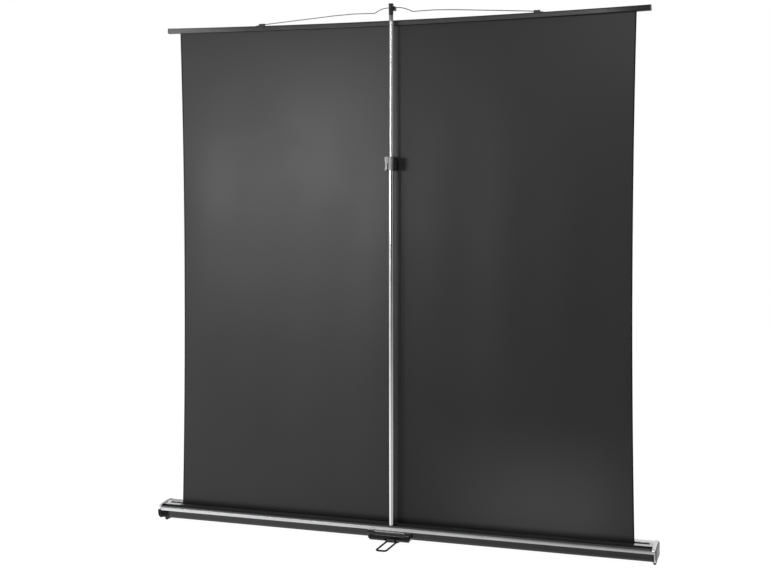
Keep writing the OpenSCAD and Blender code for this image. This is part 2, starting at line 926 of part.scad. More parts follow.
module pole_upper_tube() {
    z = lock_top - overlap;
    color(c_silver) at_pole() tube(z, head_z + head_bore - z, upper_r);
}

// Bush on the foot of the upper tube, which slides in the lower tube
module pole_guide_bush() {
    color(c_black) at_pole() translate([0, 0, lock_top - overlap + 2]) difference() {
        cylinder(h = bush_len, r = lower_r - tube_wall - run_gap);
        translate([0, 0, -past]) cylinder(h = bush_len + 2 * past, r = upper_r);
    }
}

// Head of the pole, with the hook that carries the bail
module pole_head() {
    seat_r = bail_hump - bail_r - 0.1;
    tip = bail_back - 9.5;
    stop = bail_back + bail_r + 0.15;
    arm_low = 24;
    arm_high = bail_lift + 4;
    neck = pole_back - head_r + 2;
    function on_seat(y) = sqrt(seat_r * seat_r - y * y);
    seat = [for (i = [0:8]) let(y = tip + (stop - tip) * i / 8) [y, on_seat(y)]];
    color(c_black) at_pole() difference() {
        union() {
            translate([0, 0, head_z]) rotate_extrude() polygon([
                [0, 0], [head_r - 0.6, 0], [head_r, 0.6], [head_r, head_h - 7], [head_r + 1.2, head_h - 5],
                [head_r + 1.2, head_h - 1], [head_r + 0.2, head_h], [0, head_h]
            ]);
            translate([0, -pole_back, pivot_z]) along_x(hook_w) polygon(concat(
                seat,
                [[stop, arm_high], [neck, arm_high], [neck, arm_low], [tip + 4, arm_low], [tip, arm_low + 3]]
            ));
        }
        translate([0, 0, head_z - past]) cylinder(h = head_bore + past, r = upper_r + press_gap);
    }
}

// Collar of the pole lock, clamped on the lower tube
module lock_collar() {
    color(c_black) at_pole() difference() {
        union() {
            translate([0, 0, lock_z]) rotate_extrude() polygon([
                [0, 0], [collar_r - 1.5, 0], [collar_r, 1.5], [collar_r, lock_h - 1.5],
                [collar_r - 1.5, lock_h], [0, lock_h]
            ]);
            along_y(ear_w) polygon(rounded([
                [0, lock_z + 2, 0],
                [-ear_out, lock_z + 2, 4],
                [-ear_out, lock_top - 12, 3],
                [-ear_out + 8, lock_top - 2, 3],
                [0, lock_top - 2, 0]
            ]));
            along_y(lever_room + 2 * lug_t) polygon(rounded([
                [0, lock_top - 24, 0],
                [lug_out - 5, lock_top - 24, 3],
                [lug_out, lock_top - 17, 3],
                [lug_out, lock_top - 1, 4],
                [0, lock_top - 1, 0]
            ]));
        }
        translate([0, 0, lock_z - past]) cylinder(h = collar_step - lock_z + past, r = lower_r + press_gap);
        translate([0, 0, lock_z]) cylinder(h = lock_h + past, r = upper_r + run_gap);
        translate([-ear_out - past, -ear_slit / 2, lock_z - past])
            cube([ear_out + past - lower_r, ear_slit, lock_h + 2 * past]);
        translate([collar_r + 0.4, -lever_room / 2, lock_z - past]) cube([20, lever_room, lock_h + 2 * past]);
        translate([cam_x, 0, cam_z]) rod_y(lever_room, cam_room);
        translate([cam_x, 0, cam_z]) rod_y(lever_room + 2 * lug_t + 2 * past, lock_pin_r + press_gap);
        translate([0, -3.6, cam_z - 5]) cube([collar_r, 7.2, 10]);
        for (z = [lock_z + 14, lock_top - 20])
            translate([-ear_out + 6, 0, z]) rod_y(ear_w + 2 * past, lock_screw_r + run_gap);
    }
}

// Flip lever of the pole lock: its round cam presses the shoe on the upper tube
module lock_lever() {
    in_x = collar_r + 1;
    out_x = cam_x + 5.8;
    color(c_black) at_pole() difference() {
        union() {
            translate([cam_x - cam_shift, 0, cam_z]) rod_y(lever_w, cam_r);
            along_y(lever_w) polygon(rounded([
                [in_x, cam_z, 0],
                [in_x, lock_z + 9, 2],
                [in_x + 3, lock_z + 1, 1.5],
                [out_x + 1.5, lock_z + 1, 2.5],
                [out_x, lock_z + 14, 12],
                [out_x, cam_z + 1, 2],
                [cam_x, cam_z + 1, 0]
            ]));
        }
        translate([cam_x, 0, cam_z]) rod_y(lever_w + 2 * past, lock_pin_r + run_gap);
    }
}

module lock_pin() {
    color(c_steel) at_pole() translate([cam_x, 0, cam_z]) rod_y(lever_room + 2 * lug_t + 1, lock_pin_r);
}

// Shoe between the cam and the upper tube
module lock_shoe() {
    face = cam_x - cam_shift - cam_r - 0.1;
    color(c_brass) at_pole() difference() {
        translate([0, -3.5, cam_z - 4.9]) cube([face, 7, 9.8]);
        translate([0, 0, cam_z - 6]) cylinder(h = 12, r = upper_r + 0.1);
    }
}

// Two screws that clamp the collar on the lower tube, with their nuts
module lock_screws() {
    color(c_steel) at_pole() for (z = [lock_z + 14, lock_top - 20]) translate([-ear_out + 6, 0, z]) {
        rod_y(ear_w, lock_screw_r);
        translate([0, -ear_w / 2 - 1.5, 0]) difference() {
            rod_y(3, 3.6);
            translate([0, -1.5, 0]) rotate([90, 0, 0]) cylinder(h = 2.4, r = 1.5, center = true, $fn = 6);
        }
        translate([0, ear_w / 2 + 1.5, 0]) rotate([90, 0, 0])
            cylinder(h = 3, r = 3.6, center = true, $fn = 6);
    }
}

// Saddle under the middle of the case, which carries the wire foot
module foot_bracket() {
    waist = 62;
    inner = 50;
    tuck = 30;
    middle = [
        [-4, bracket_z, 2],
        [bracket_back - 10, bracket_z, 6],
        [bracket_back, bracket_z + 10, 6],
        [bracket_back, bracket_z + 24, 5],
        [case_back + 6, bracket_z + 32, 4],
        [case_back + 4, rear_seam - 1, 1.5],
        [inner, rear_seam - 1, 0],
        [inner, tuck, 0],
        [-4, tuck, 0]
    ];
    block = [
        [20, bracket_z, 2],
        [bracket_back - 10, bracket_z, 6],
        [bracket_back, bracket_z + 10, 6],
        [bracket_back, bracket_z + 28, 7],
        [case_back + 8, bracket_z + 38, 4],
        [inner, bracket_z + 38, 0],
        [inner, tuck, 0],
        [20, tuck, 0]
    ];
    color(c_black) placed() difference() {
        intersection() {
            union() {
                along_x(2 * waist + 2) polygon(rounded(middle));
                both_ends() from_x(waist, bracket_l / 2 - waist) polygon(rounded(block));
            }
            translate([0, 0, -past]) linear_extrude(height = case_top) polygon(rounded([
                [-bracket_l / 2, -10, 4],
                [bracket_l / 2, -10, 4],
                [bracket_l / 2, bracket_back, 12],
                [-bracket_l / 2, bracket_back, 12]
            ]));
            translate([0, bracket_back / 2, 0]) along_y(2 * bracket_back) polygon(rounded([
                [-bracket_l / 2 + 12, bracket_z - past, 4],
                [bracket_l / 2 - 12, bracket_z - past, 4],
                [bracket_l / 2 + 2, bracket_z + 24, 6],
                [bracket_l / 2 + 2, case_top, 0],
                [-bracket_l / 2 - 2, case_top, 0],
                [-bracket_l / 2 - 2, bracket_z + 24, 6]
            ]));
        }
        along_x(bracket_l + 10) polygon(rounded(case_corners()));
        translate([0, swivel_back, bracket_z - past]) cylinder(h = 20, r = pivot_r + run_gap);
        for (s = [-1, 1]) translate([s * bracket_screw_x, swivel_back, bracket_z - past]) {
            cylinder(h = 20, r = bracket_screw_r + run_gap);
            cylinder(h = past + 2.6, r = 4);
        }
    }
}

module foot_bracket_screws() {
    color(c_steel) placed() for (s = [-1, 1]) translate([s * bracket_screw_x, swivel_back, bracket_z]) {
        translate([0, 0, 0.4]) difference() {
            cylinder(h = 2.2, r = 3.8);
            translate([0, 0, -past]) cylinder(h = past + 1.4, r = 1.5, $fn = 6);
        }
        translate([0, 0, 2.6]) cylinder(h = case_base + wall + 4 - bracket_z - 2.6, r = bracket_screw_r);
    }
}

// Hub that swivels under the bracket and grips both ends of the wire foot
module foot_hub() {
    half = loop_w / 2 + 4;
    color(c_black) at_swivel() difference() {
        translate([0, 0, hub_z]) linear_extrude(height = hub_top - hub_z) polygon(rounded([
            [-half, -hub_l / 2, 10],
            [half, -hub_l / 2, 10],
            [half, hub_l / 2, 6],
            [-half, hub_l / 2, 6]
        ]));
        translate([0, 0, -past]) cylinder(h = 30, r = pivot_r + run_gap);
        translate([0, 0, -past]) cylinder(h = past + hub_z + pivot_head_t + 1, r = pivot_head_r + 0.5);
        for (s = [-1, 1]) translate([s * loop_x, hub_l / 2 - hub_in, rod_r])
            rotate([-90, 0, 0]) cylinder(h = hub_in + past, r = rod_r + press_gap);
    }
}

// Wire foot: a flat loop of steel rod that lies on the floor behind the case
module foot_loop() {
    front = hub_l / 2 - hub_in;
    bend_y = loop_reach - rod_r - loop_bend;
    bend_x = loop_x - loop_bend;
    color(c_black) at_swivel() translate([0, 0, rod_r]) {
        both_ends() {
            translate([loop_x, front, 0]) rotate([-90, 0, 0]) cylinder(h = bend_y - front, r = rod_r);
            translate([bend_x, bend_y, 0]) rotate_extrude(angle = 90)
                translate([loop_bend, 0]) circle(r = rod_r);
        }
        translate([0, bend_y + loop_bend, 0]) rod_x(-bend_x, 2 * bend_x, rod_r);
    }
}

// Shoulder screw on which the hub turns
module foot_pivot_screw() {
    head_low = hub_z + 0.6;
    shank_low = head_low + pivot_head_t;
    color(c_steel) at_swivel() {
        translate([0, 0, head_low]) difference() {
            cylinder(h = pivot_head_t, r = pivot_head_r);
            translate([0, 0, -past]) cylinder(h = past + 1.8, r = 2.5, $fn = 6);
        }
        translate([0, 0, shank_low]) cylinder(h = case_base + wall + nut_t + 1 - shank_low, r = pivot_r);
    }
}

module foot_pivot_nut() {
    color(c_steel) at_swivel() translate([0, 0, case_base + wall]) difference() {
        cylinder(h = nut_t, r = nut_flats / sqrt(3), $fn = 6);
        translate([0, 0, -past]) cylinder(h = nut_t + 2 * past, r = pivot_r);
    }
}

// Washer between the swivelling hub and the bracket
module foot_washer() {
    color(c_steel) at_swivel() translate([0, 0, hub_top + 0.05]) difference() {
        cylinder(h = washer_t - 0.05, r = 12);
        translate([0, 0, -past]) cylinder(h = washer_t + 2 * past, r = pivot_r + run_gap);
    }
}

case_body();
case_front_cover();
case_rear_lip();
case_shoulder_trim();
slot_guides();
slot_plugs();
end_frame_left();
end_frame_right();
end_cover_left();
end_cover_right();
end_frame_screws();
foot_pads();
roller_tube();
fabric_roll();
roller_idle_plug();
roller_spring_plug();
roller_bush();
spring_spindle();
roller_spring();
spring_anchor();
screen_fabric();
hem_rod();
top_bar();
top_bar_cap_left();
top_bar_cap_right();
bail();
bail_arm_left();
bail_arm_right();
bail_clips();
bail_clip_screws();
pole_socket();
pole_lower_tube();
pole_foot_plug();
pole_upper_tube();
pole_guide_bush();
pole_head();
lock_collar();
lock_lever();
lock_pin();
lock_shoe();
lock_screws();
foot_bracket();
foot_bracket_screws();
foot_hub();
foot_loop();
foot_pivot_screw();
foot_pivot_nut();
foot_washer();
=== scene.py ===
"""Looks of a pull-up projection screen: its finishes, its fabric as a sheet, a studio and a camera.

Every length is in metres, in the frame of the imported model: X along the case, the picture side faces -Y,
the pole stands on the +Y side and the floor is at Z = 0. Left and right are those of the photo, which is
taken from behind: left is +X.
"""
import logging
import math
from dataclasses import dataclass, field, replace
from enum import Enum
from typing import Any, ClassVar, Sequence, Union

import bpy
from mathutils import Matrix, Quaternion, Vector


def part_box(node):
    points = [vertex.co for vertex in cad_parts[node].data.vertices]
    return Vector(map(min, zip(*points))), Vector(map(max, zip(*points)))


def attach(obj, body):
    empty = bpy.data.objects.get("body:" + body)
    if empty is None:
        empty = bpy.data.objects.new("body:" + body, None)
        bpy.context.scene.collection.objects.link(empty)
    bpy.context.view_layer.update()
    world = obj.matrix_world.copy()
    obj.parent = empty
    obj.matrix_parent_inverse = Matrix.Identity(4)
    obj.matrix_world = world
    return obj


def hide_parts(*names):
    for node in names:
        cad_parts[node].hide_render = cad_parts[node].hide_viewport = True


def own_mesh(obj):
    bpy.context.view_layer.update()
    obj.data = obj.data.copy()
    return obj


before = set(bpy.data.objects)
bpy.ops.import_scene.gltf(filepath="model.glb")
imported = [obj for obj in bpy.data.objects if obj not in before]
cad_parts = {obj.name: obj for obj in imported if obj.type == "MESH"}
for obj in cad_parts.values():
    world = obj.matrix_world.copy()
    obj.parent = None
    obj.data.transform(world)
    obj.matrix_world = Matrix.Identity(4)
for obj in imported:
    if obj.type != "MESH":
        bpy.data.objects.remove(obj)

LOG = logging.getLogger("projection_screen")
FULL_TURN = 360.0

Colour = tuple[float, float, float]
Point = tuple[float, float, float]
Span = tuple[float, float]
Socket = bpy.types.NodeSocket
Tree = bpy.types.NodeTree
Value = Union[float, Sequence[float], Socket]

WHITE: Colour = (1.0, 1.0, 1.0)
ALUMINIUM: Colour = (0.8, 0.805, 0.82)
LIT_METAL: Colour = (0.75, 0.75, 0.76)
SHADED_METAL: Colour = (0.14, 0.14, 0.145)
NEAR_BLACK: Colour = (0.006, 0.006, 0.0065)
DEEP_BLACK: Colour = (0.004, 0.004, 0.0045)


class Body(Enum):
    """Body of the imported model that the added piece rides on."""

    BAR = "bar"


class Slot(Enum):
    """Material slots of the record."""

    DARK_ANODISED = "dark_anodised"
    BRIGHT_ANODISED = "bright_anodised"
    POLE_ALUMINIUM = "pole_aluminium"
    BLACK_PLASTIC = "black_plastic"
    GLOSS_BLACK = "gloss_black"
    BLACK_STEEL = "black_steel"
    STEEL = "steel"
    DARK_STEEL = "dark_steel"
    BRASS = "brass"
    RUBBER = "rubber"
    FELT = "felt"
    SCREEN_CLOTH = "screen_cloth"


class Grain(Enum):
    """Directions that drawn or brushed lines run in, as stretch factors of the texture space."""

    ALONG_X = (0.012, 1.0, 1.0)
    ALONG_Z = (1.0, 1.0, 0.012)
    NONE = (1.0, 1.0, 1.0)


class Side(Enum):
    """Directions that the part of a piece past a plane lies in; most of these parts hold painted light or
    shade.
    """

    LEFT = (1.0, 0.0, 0.0)
    RIGHT = (-1.0, 0.0, 0.0)
    POLE_SIDE = (0.0, 1.0, 0.0)
    TOP = (0.0, 0.0, 1.0)
    UNDERSIDE = (0.0, 0.0, -1.0)
    SLOPING_TOP = (-0.0015, 0.0, 1.0)
    LEFT_FLANK = (0.947, 0.321, 0.0)
    RIGHT_FLANK = (-0.947, -0.321, 0.0)


class Mixed(Enum):
    """What a Mix node mixes: its data type, the places of its two inputs and that of its output."""

    NUMBERS = ("FLOAT", 2, 3, 0)
    COLOURS = ("RGBA", 6, 7, 2)


@dataclass(frozen=True)
class Patches:
    """Soft patches: noise whose middle is spread out to a mask, from the least value to 1."""

    density: Value
    octaves: float
    middle: Span
    least: float = 0.0


class Graph:
    """Adds nodes to one shader tree and wires them up."""

    def __init__(self, tree: Tree) -> None:
        """Starts on the tree that the nodes go into."""
        self.tree = tree

    @classmethod
    def fresh(cls, owner: Union[bpy.types.Material, bpy.types.World]) -> "Graph":
        """Starts on the emptied tree of a material or a world.

        Args:
            owner: The material or world.

        Returns:
            The graph.
        """
        owner.use_nodes = True
        owner.node_tree.nodes.clear()
        return cls(owner.node_tree)

    def node(self, kind: str, **settings: Any) -> bpy.types.Node:
        """Adds a node.

        Args:
            kind: Blender's name of the node type.
            **settings: Attributes of the node.

        Returns:
            The new node.
        """
        made = self.tree.nodes.new(kind)
        for name, value in settings.items():
            setattr(made, name, value)
        return made

    def feed(self, socket: Socket, value: Value) -> None:
        """Wires a value into an input, or sets it there.

        Args:
            socket: Input that takes the value.
            value: Output of another node, or a constant.
        """
        if isinstance(value, Socket):
            self.tree.links.new(value, socket)
        else:
            socket.default_value = value

    def math(self, operation: str, first: Value, second: Value = 0.0) -> Socket:
        """Adds a Math node.

        Args:
            operation: Blender's name of the operation.
            first: First operand.
            second: Second operand, where the operation has one.

        Returns:
            The result.
        """
        made = self.node("ShaderNodeMath", operation=operation)
        self.feed(made.inputs[0], first)
        self.feed(made.inputs[1], second)
        return made.outputs[0]

    def remap(self, value: Value, span: Sequence[Value], result: Sequence[Value] = (0.0, 1.0)) -> Socket:
        """Moves a value smoothly from one range to another.

        Args:
            value: Value that comes in.
            span: Start and end of its range.
            result: What comes out at the start and at the end.

        Returns:
            The result, held at both ends.
        """
        made = self.node("ShaderNodeMapRange", interpolation_type="SMOOTHSTEP")
        for socket, given in zip(made.inputs, (value, *span, *result)):
            self.feed(socket, given)
        return made.outputs[0]

    def blend(self, factor: Value, first: Value, second: Value, kind: Mixed = Mixed.COLOURS) -> Socket:
        """Mixes two colours or two numbers.

        Args:
            factor: Share of the second one.
            first: First colour, RGBA, or number.
            second: Second colour, RGBA, or number.
            kind: Which of the two they are.

        Returns:
            The mixture.
        """
        data_type, first_input, second_input, result = kind.value
        made = self.node("ShaderNodeMix", data_type=data_type)
        self.feed(made.inputs[0], factor)
        self.feed(made.inputs[first_input], first)
        self.feed(made.inputs[second_input], second)
        return made.outputs[result]

    def axes(self, vector: Value) -> Any:
        """Splits a vector.

        Args:
            vector: Vector that comes in.

        Returns:
            Its three parts, in order and by the names X, Y and Z.
        """
        made = self.node("ShaderNodeSeparateXYZ")
        self.feed(made.inputs[0], vector)
        return made.outputs

    def combine(self, operation: str, first: Value, second: Value) -> Any:
        """Adds a Vector Math node.

        Args:
            operation: Blender's name of the operation.
            first: First vector.
            second: Second vector.

        Returns:
            The outputs, Vector and Value.
        """
        made = self.node("ShaderNodeVectorMath", operation=operation)
        self.feed(made.inputs[0], first)
        self.feed(made.inputs[1], second)
        return made.outputs

    def noise(self, vector: Value, density: Value, octaves: float) -> Socket:
        """Adds a noise texture.

        Args:
            vector: Texture space.
            density: Waves per metre, about.
            octaves: Number of octaves.

        Returns:
            Noise about 0.5.
        """
        made = self.node("ShaderNodeTexNoise")
        self.feed(made.inputs["Vector"], vector)
        self.feed(made.inputs["Scale"], density)
        self.feed(made.inputs["Detail"], octaves)
        return made.outputs["Fac"]

    def patches(self, vector: Value, look: Patches) -> Socket:
        """Returns a mask of soft patches in a texture space."""
        return self.remap(self.noise(vector, look.density, look.octaves), look.middle, (look.least, 1.0))

    def bump(self, height: Value, depth: float) -> Socket:
        """Turns a height into a normal.

        Args:
            height: Height from 0 to 1.
            depth: Real height of 1, in metres.

        Returns:
            The bent normal.
        """
        made = self.node("ShaderNodeBump")
        self.feed(made.inputs["Strength"], 1.0)
        self.feed(made.inputs["Distance"], depth)
        self.feed(made.inputs["Height"], height)
        return made.outputs["Normal"]

    def place(self) -> Socket:
        """Returns the object's own coordinates, which move with the piece."""
        return self.node("ShaderNodeTexCoord").outputs["Object"]

    def for_camera(self, seen: Socket, other: Socket) -> Socket:
        """Shows the camera one shader of the studio and everything else another.

        Args:
            seen: Shader for the camera.
            other: Shader for the rest.

        Returns:
            Both as one.
        """
        both = self.node("ShaderNodeMixShader")
        self.feed(both.inputs[0], self.node("ShaderNodeLightPath").outputs["Is Camera Ray"])
        self.feed(both.inputs[1], other)
        self.feed(both.inputs[2], seen)
        return both.outputs[0]

    def effect(self, group: Tree, **inputs: Value) -> bpy.types.Node:
        """Places a node group with its values.

        Args:
            group: Node group.
            **inputs: Values by the names of its inputs.

        Returns:
            The group node.
        """
        made = self.node("ShaderNodeGroup", node_tree=group)
        for name, value in inputs.items():
            self.feed(made.inputs[name], value)
        return made


class Effects:
    """Node groups that several finishes share, each built once."""

    FINE_PER_COARSE = 4.3
    COARSE_SHARE = 0.4
    LINE_MIDDLE: Span = (0.3, 0.7)
    PATCH_MIDDLE: Span = (0.35, 0.65)
    SLUB_DENSITY = 900.0
    SLUB_RUNS: tuple[Point, Point] = ((1.0, 1.0, 0.01), (0.01, 1.0, 1.0))
    UPWARD: Span = (0.55, 1.0)
    DUST_AND_HIGHLIGHT_CLOUDS = Patches(density=28.0, octaves=5.0, middle=(0.4, 0.75), least=0.15)
    DUST_AND_HIGHLIGHT_SPECKS = Patches(density=900.0, octaves=1.0, middle=(0.5, 0.8), least=0.3)
    SHARP_EDGE: Span = (0.99, 0.86)
    RUBBED_PLACES = Patches(density=120.0, octaves=4.0, middle=(0.42, 0.62), least=0.2)

    def __init__(self) -> None:
        """Builds every group."""
        self.lines = self._lines()
        self.grain = self._grain()
        self.weave = self._weave()
        self.dust_and_highlight = self._dust_and_highlight()
        self.wear = self._wear()
        self.side = self._side()

    @staticmethod
    def _group(
        name: str, vectors: Sequence[str], numbers: Sequence[str], results: Sequence[str]
    ) -> tuple[Graph, Any, Any]:
        """Starts a node group.

        Args:
            name: Name of the group.
            vectors: Names of the inputs that take a vector.
            numbers: Names of the inputs that take a number.
            results: Names of the outputs, all of them numbers.

        Returns:
            The graph, its inputs and its outputs.
        """
        tree = bpy.data.node_groups.new(name, "ShaderNodeTree")
        for label in vectors:
            tree.interface.new_socket(name=label, in_out="INPUT", socket_type="NodeSocketVector")
        for way, labels in (("INPUT", numbers), ("OUTPUT", results)):
            for label in labels:
                tree.interface.new_socket(name=label, in_out=way, socket_type="NodeSocketFloat")
        graph = Graph(tree)
        return graph, graph.node("NodeGroupInput").outputs, graph.node("NodeGroupOutput").inputs

    def _lines(self) -> Tree:
        """Returns fine lines that run one way, as drawing or brushing leaves them."""
        graph, given, out = self._group(
            "drawn_lines", ("Vector", "Stretch"), ("Density",), ("Value", "Height")
        )
        space = graph.combine("MULTIPLY", given["Vector"], given["Stretch"])["Vector"]
        coarse = graph.noise(space, given["Density"], octaves=2.0)
        finer = graph.math("MULTIPLY", given["Density"], self.FINE_PER_COARSE)
        fine = graph.noise(space, finer, octaves=3.0)
        coarse_part = graph.math("MULTIPLY", coarse, self.COARSE_SHARE)
        fine_part = graph.math("MULTIPLY", fine, 1.0 - self.COARSE_SHARE)
        both = graph.math("ADD", coarse_part, fine_part)
        graph.feed(out["Value"], graph.remap(both, self.LINE_MIDDLE))
        graph.feed(out["Height"], fine)
        return graph.tree

    def _grain(self) -> Tree:
        """Returns an even grain with soft patches, as moulding, paint or rubber has."""
        graph, given, out = self._group("fine_grain", ("Vector",), ("Scale", "Patches"), ("Height", "Patch"))
        graph.feed(out["Height"], graph.noise(given["Vector"], given["Scale"], octaves=2.0))
        look = Patches(given["Patches"], octaves=4.0, middle=self.PATCH_MIDDLE)
        graph.feed(out["Patch"], graph.patches(given["Vector"], look))
        return graph.tree

    def _weave(self) -> Tree:
        """Returns a plain weave in the XZ plane with uneven threads."""
        graph, given, out = self._group("plain_weave", ("Vector",), ("Pitch",), ("Height", "Slub"))
        parts = graph.axes(given["Vector"])
        turns = graph.math("DIVIDE", math.pi, given["Pitch"])
        across = graph.math("SINE", graph.math("MULTIPLY", parts["X"], turns))
        down = graph.math("SINE", graph.math("MULTIPLY", parts["Z"], turns))
        crossing = graph.math("MULTIPLY", across, down)
        graph.feed(out["Height"], graph.remap(crossing, (-1.0, 1.0)))
        spaces = [graph.combine("MULTIPLY", given["Vector"], run)["Vector"] for run in self.SLUB_RUNS]
        upright, level = (graph.noise(space, self.SLUB_DENSITY, octaves=2.0) for space in spaces)
        graph.feed(out["Slub"], graph.math("MULTIPLY", graph.math("ADD", upright, level), 0.5))
        return graph.tree

    def _dust_and_highlight(self) -> Tree:
        """Returns a mask of dust that lies on faces that look up; on gloss paint it serves as a painted
        highlight on those faces.
        """
        graph, given, out = self._group("settled_dust_and_highlight", ("Vector",), ("Amount",), ("Mask",))
        facing = graph.node("ShaderNodeNewGeometry").outputs["Normal"]
        upward = graph.remap(graph.axes(facing)["Z"], self.UPWARD)
        cloud = graph.patches(given["Vector"], self.DUST_AND_HIGHLIGHT_CLOUDS)
        specks = graph.patches(given["Vector"], self.DUST_AND_HIGHLIGHT_SPECKS)
        lying = graph.math("MULTIPLY", upward, graph.math("MULTIPLY", cloud, specks))
        graph.feed(out["Mask"], graph.math("MULTIPLY", lying, given["Amount"]))
        return graph.tree

    def _wear(self) -> Tree:
        """Returns a mask of edges that handling has rubbed bare."""
        graph, given, out = self._group("rubbed_edges", ("Vector",), ("Radius", "Amount"), ("Mask",))
        bevel = graph.node("ShaderNodeBevel", samples=2)
        graph.feed(bevel.inputs["Radius"], given["Radius"])
        facing = graph.node("ShaderNodeNewGeometry").outputs["Normal"]
        bend = graph.combine("DOT_PRODUCT", bevel.outputs["Normal"], facing)["Value"]
        edge = graph.remap(bend, self.SHARP_EDGE)
        rubbed = graph.math("MULTIPLY", edge, graph.patches(given["Vector"], self.RUBBED_PLACES))
        graph.feed(out["Mask"], graph.math("MULTIPLY", rubbed, given["Amount"]))
        return graph.tree

    def _side(self) -> Tree:
        """Returns a mask of what lies beyond a plane."""
        graph, given, out = self._group("beyond_plane", ("Vector", "Direction"), ("Edge", "Fade"), ("Mask",))
        along = graph.combine("DOT_PRODUCT", given["Vector"], given["Direction"])["Value"]
        end = graph.math("ADD", given["Edge"], given["Fade"])
        graph.feed(out["Mask"], graph.remap(along, (given["Edge"], end)))
        return graph.tree


def rgba(colour: Colour, factor: float = 1.0) -> tuple[float, float, float, float]:
    """Returns a linear colour times a factor, with the alpha that a colour socket takes too."""
    return (colour[0] * factor, colour[1] * factor, colour[2] * factor, 1.0)


@dataclass(frozen=True)
class Finish:
    """A surface finish. Each kind adds its own nodes in paint."""

    name: str
    colour: Colour
    roughness: float
    spread: float = 0.06

    def build(self, effects: Effects) -> bpy.types.Material:
        """Makes the material.

        Args:
            effects: Shared node groups.

        Returns:
            The material.
        """
        material = bpy.data.materials.new(self.name)
        graph = Graph.fresh(material)
        shader = graph.node("ShaderNodeBsdfPrincipled")
        graph.feed(graph.node("ShaderNodeOutputMaterial").inputs["Surface"], shader.outputs["BSDF"])
        self.paint(graph, shader.inputs, effects)
        return material

    def paint(self, graph: Graph, shader: Any, effects: Effects) -> None:
        """Feeds the inputs of the Principled shader, in each kind's own way."""
        raise NotImplementedError

    def tone(self, graph: Graph, mask: Value, tones: Span) -> Socket:
        """Returns the colour times the first tone where the mask is 0, and times the second where it is 1."""
        return graph.blend(mask, rgba(self.colour, tones[0]), rgba(self.colour, tones[1]))

    def uneven_roughness(self, graph: Graph, mask: Value) -> Socket:
        """Returns the roughness, spread about its middle as the mask goes from 0 to 1."""
        ends = (self.roughness - self.spread, self.roughness + self.spread)
        return graph.remap(mask, (0.0, 1.0), ends)


@dataclass(frozen=True)
class Beyond:
    """The part of a piece past a plane, which lies at the edge along a side, with a colour and roughness of
    its own and no metal: painted light or shade on most pieces, and the black side of the clamp.
    """

    side: Side
    edge: float
    colour: Colour
    roughness: float = 0.4
    fade: float = 0.0004


@dataclass(frozen=True)
class DrawnMetal(Finish):
    """Bare or anodised metal with lines left by drawing, extruding or brushing."""

    grain: Grain = Grain.NONE
    density: float = 900.0
    depth: float = 0.000004
    line_share: float = 0.6
    stains: float = 9.0
    tone_spread: float = 0.08
    dust_and_highlight: float = 0.0
    dust_and_highlight_colour: Colour = (0.42, 0.41, 0.4)
    dust_roughness: float = 0.4
    wear: float = 0.0
    wear_radius: float = 0.0007
    wear_colour: Colour = (0.4, 0.4, 0.41)
    beyond: tuple[Beyond, ...] = ()
    specular: float = 0.12

    def paint(self, graph: Graph, shader: Any, effects: Effects) -> None:
        """Feeds the shader with lines, soft stains, rubbed edges, a little dust, and parts past planes that
        mostly hold painted light or shade.

        Args:
            graph: Graph of the material.
            shader: Inputs of its Principled shader.
            effects: Shared node groups.
        """
        place = graph.place()
        lines = graph.effect(effects.lines, Vector=place, Stretch=self.grain.value, Density=self.density)
        stains = graph.effect(effects.grain, Vector=place, Patches=self.stains)
        line_part = graph.math("MULTIPLY", lines.outputs["Value"], self.line_share)
        stain_part = graph.math("MULTIPLY", stains.outputs["Patch"], 1.0 - self.line_share)
        mask = graph.math("ADD", line_part, stain_part)
        colour = self.tone(graph, mask, (1.0 - self.tone_spread, 1.0 + self.tone_spread))
        if self.wear > 0.0:
            wear = graph.effect(effects.wear, Vector=place, Radius=self.wear_radius, Amount=self.wear)
            colour = graph.blend(wear.outputs["Mask"], colour, rgba(self.wear_colour))
        roughness = self.uneven_roughness(graph, mask)
        metallic: Value = 1.0
        if self.dust_and_highlight > 0.0:
            dust_and_highlight = graph.effect(effects.dust_and_highlight, Vector=place, Amount=self.dust_and_highlight).outputs["Mask"]
            colour = graph.blend(dust_and_highlight, colour, rgba(self.dust_and_highlight_colour))
            rougher = graph.math("MULTIPLY", dust_and_highlight, self.dust_roughness)
            roughness = graph.math("ADD", roughness, rougher)
            metallic = graph.math("SUBTRACT", 1.0, dust_and_highlight)
        # Parts past planes: most of them are painted light or shade.
        for part in self.beyond:
            past = graph.effect(
                effects.side, Vector=place, Direction=part.side.value, Edge=part.edge, Fade=part.fade
            ).outputs["Mask"]
            colour = graph.blend(past, colour, rgba(part.colour))
            roughness = graph.blend(past, roughness, part.roughness, Mixed.NUMBERS)
            metallic = graph.blend(past, metallic, 0.0, Mixed.NUMBERS)
        graph.feed(shader["Base Color"], colour)
        graph.feed(shader["Specular IOR Level"], self.specular)
        graph.feed(shader["Metallic"], metallic)
        graph.feed(shader["Roughness"], roughness)
        graph.feed(shader["Normal"], graph.bump(lines.outputs["Height"], self.depth))


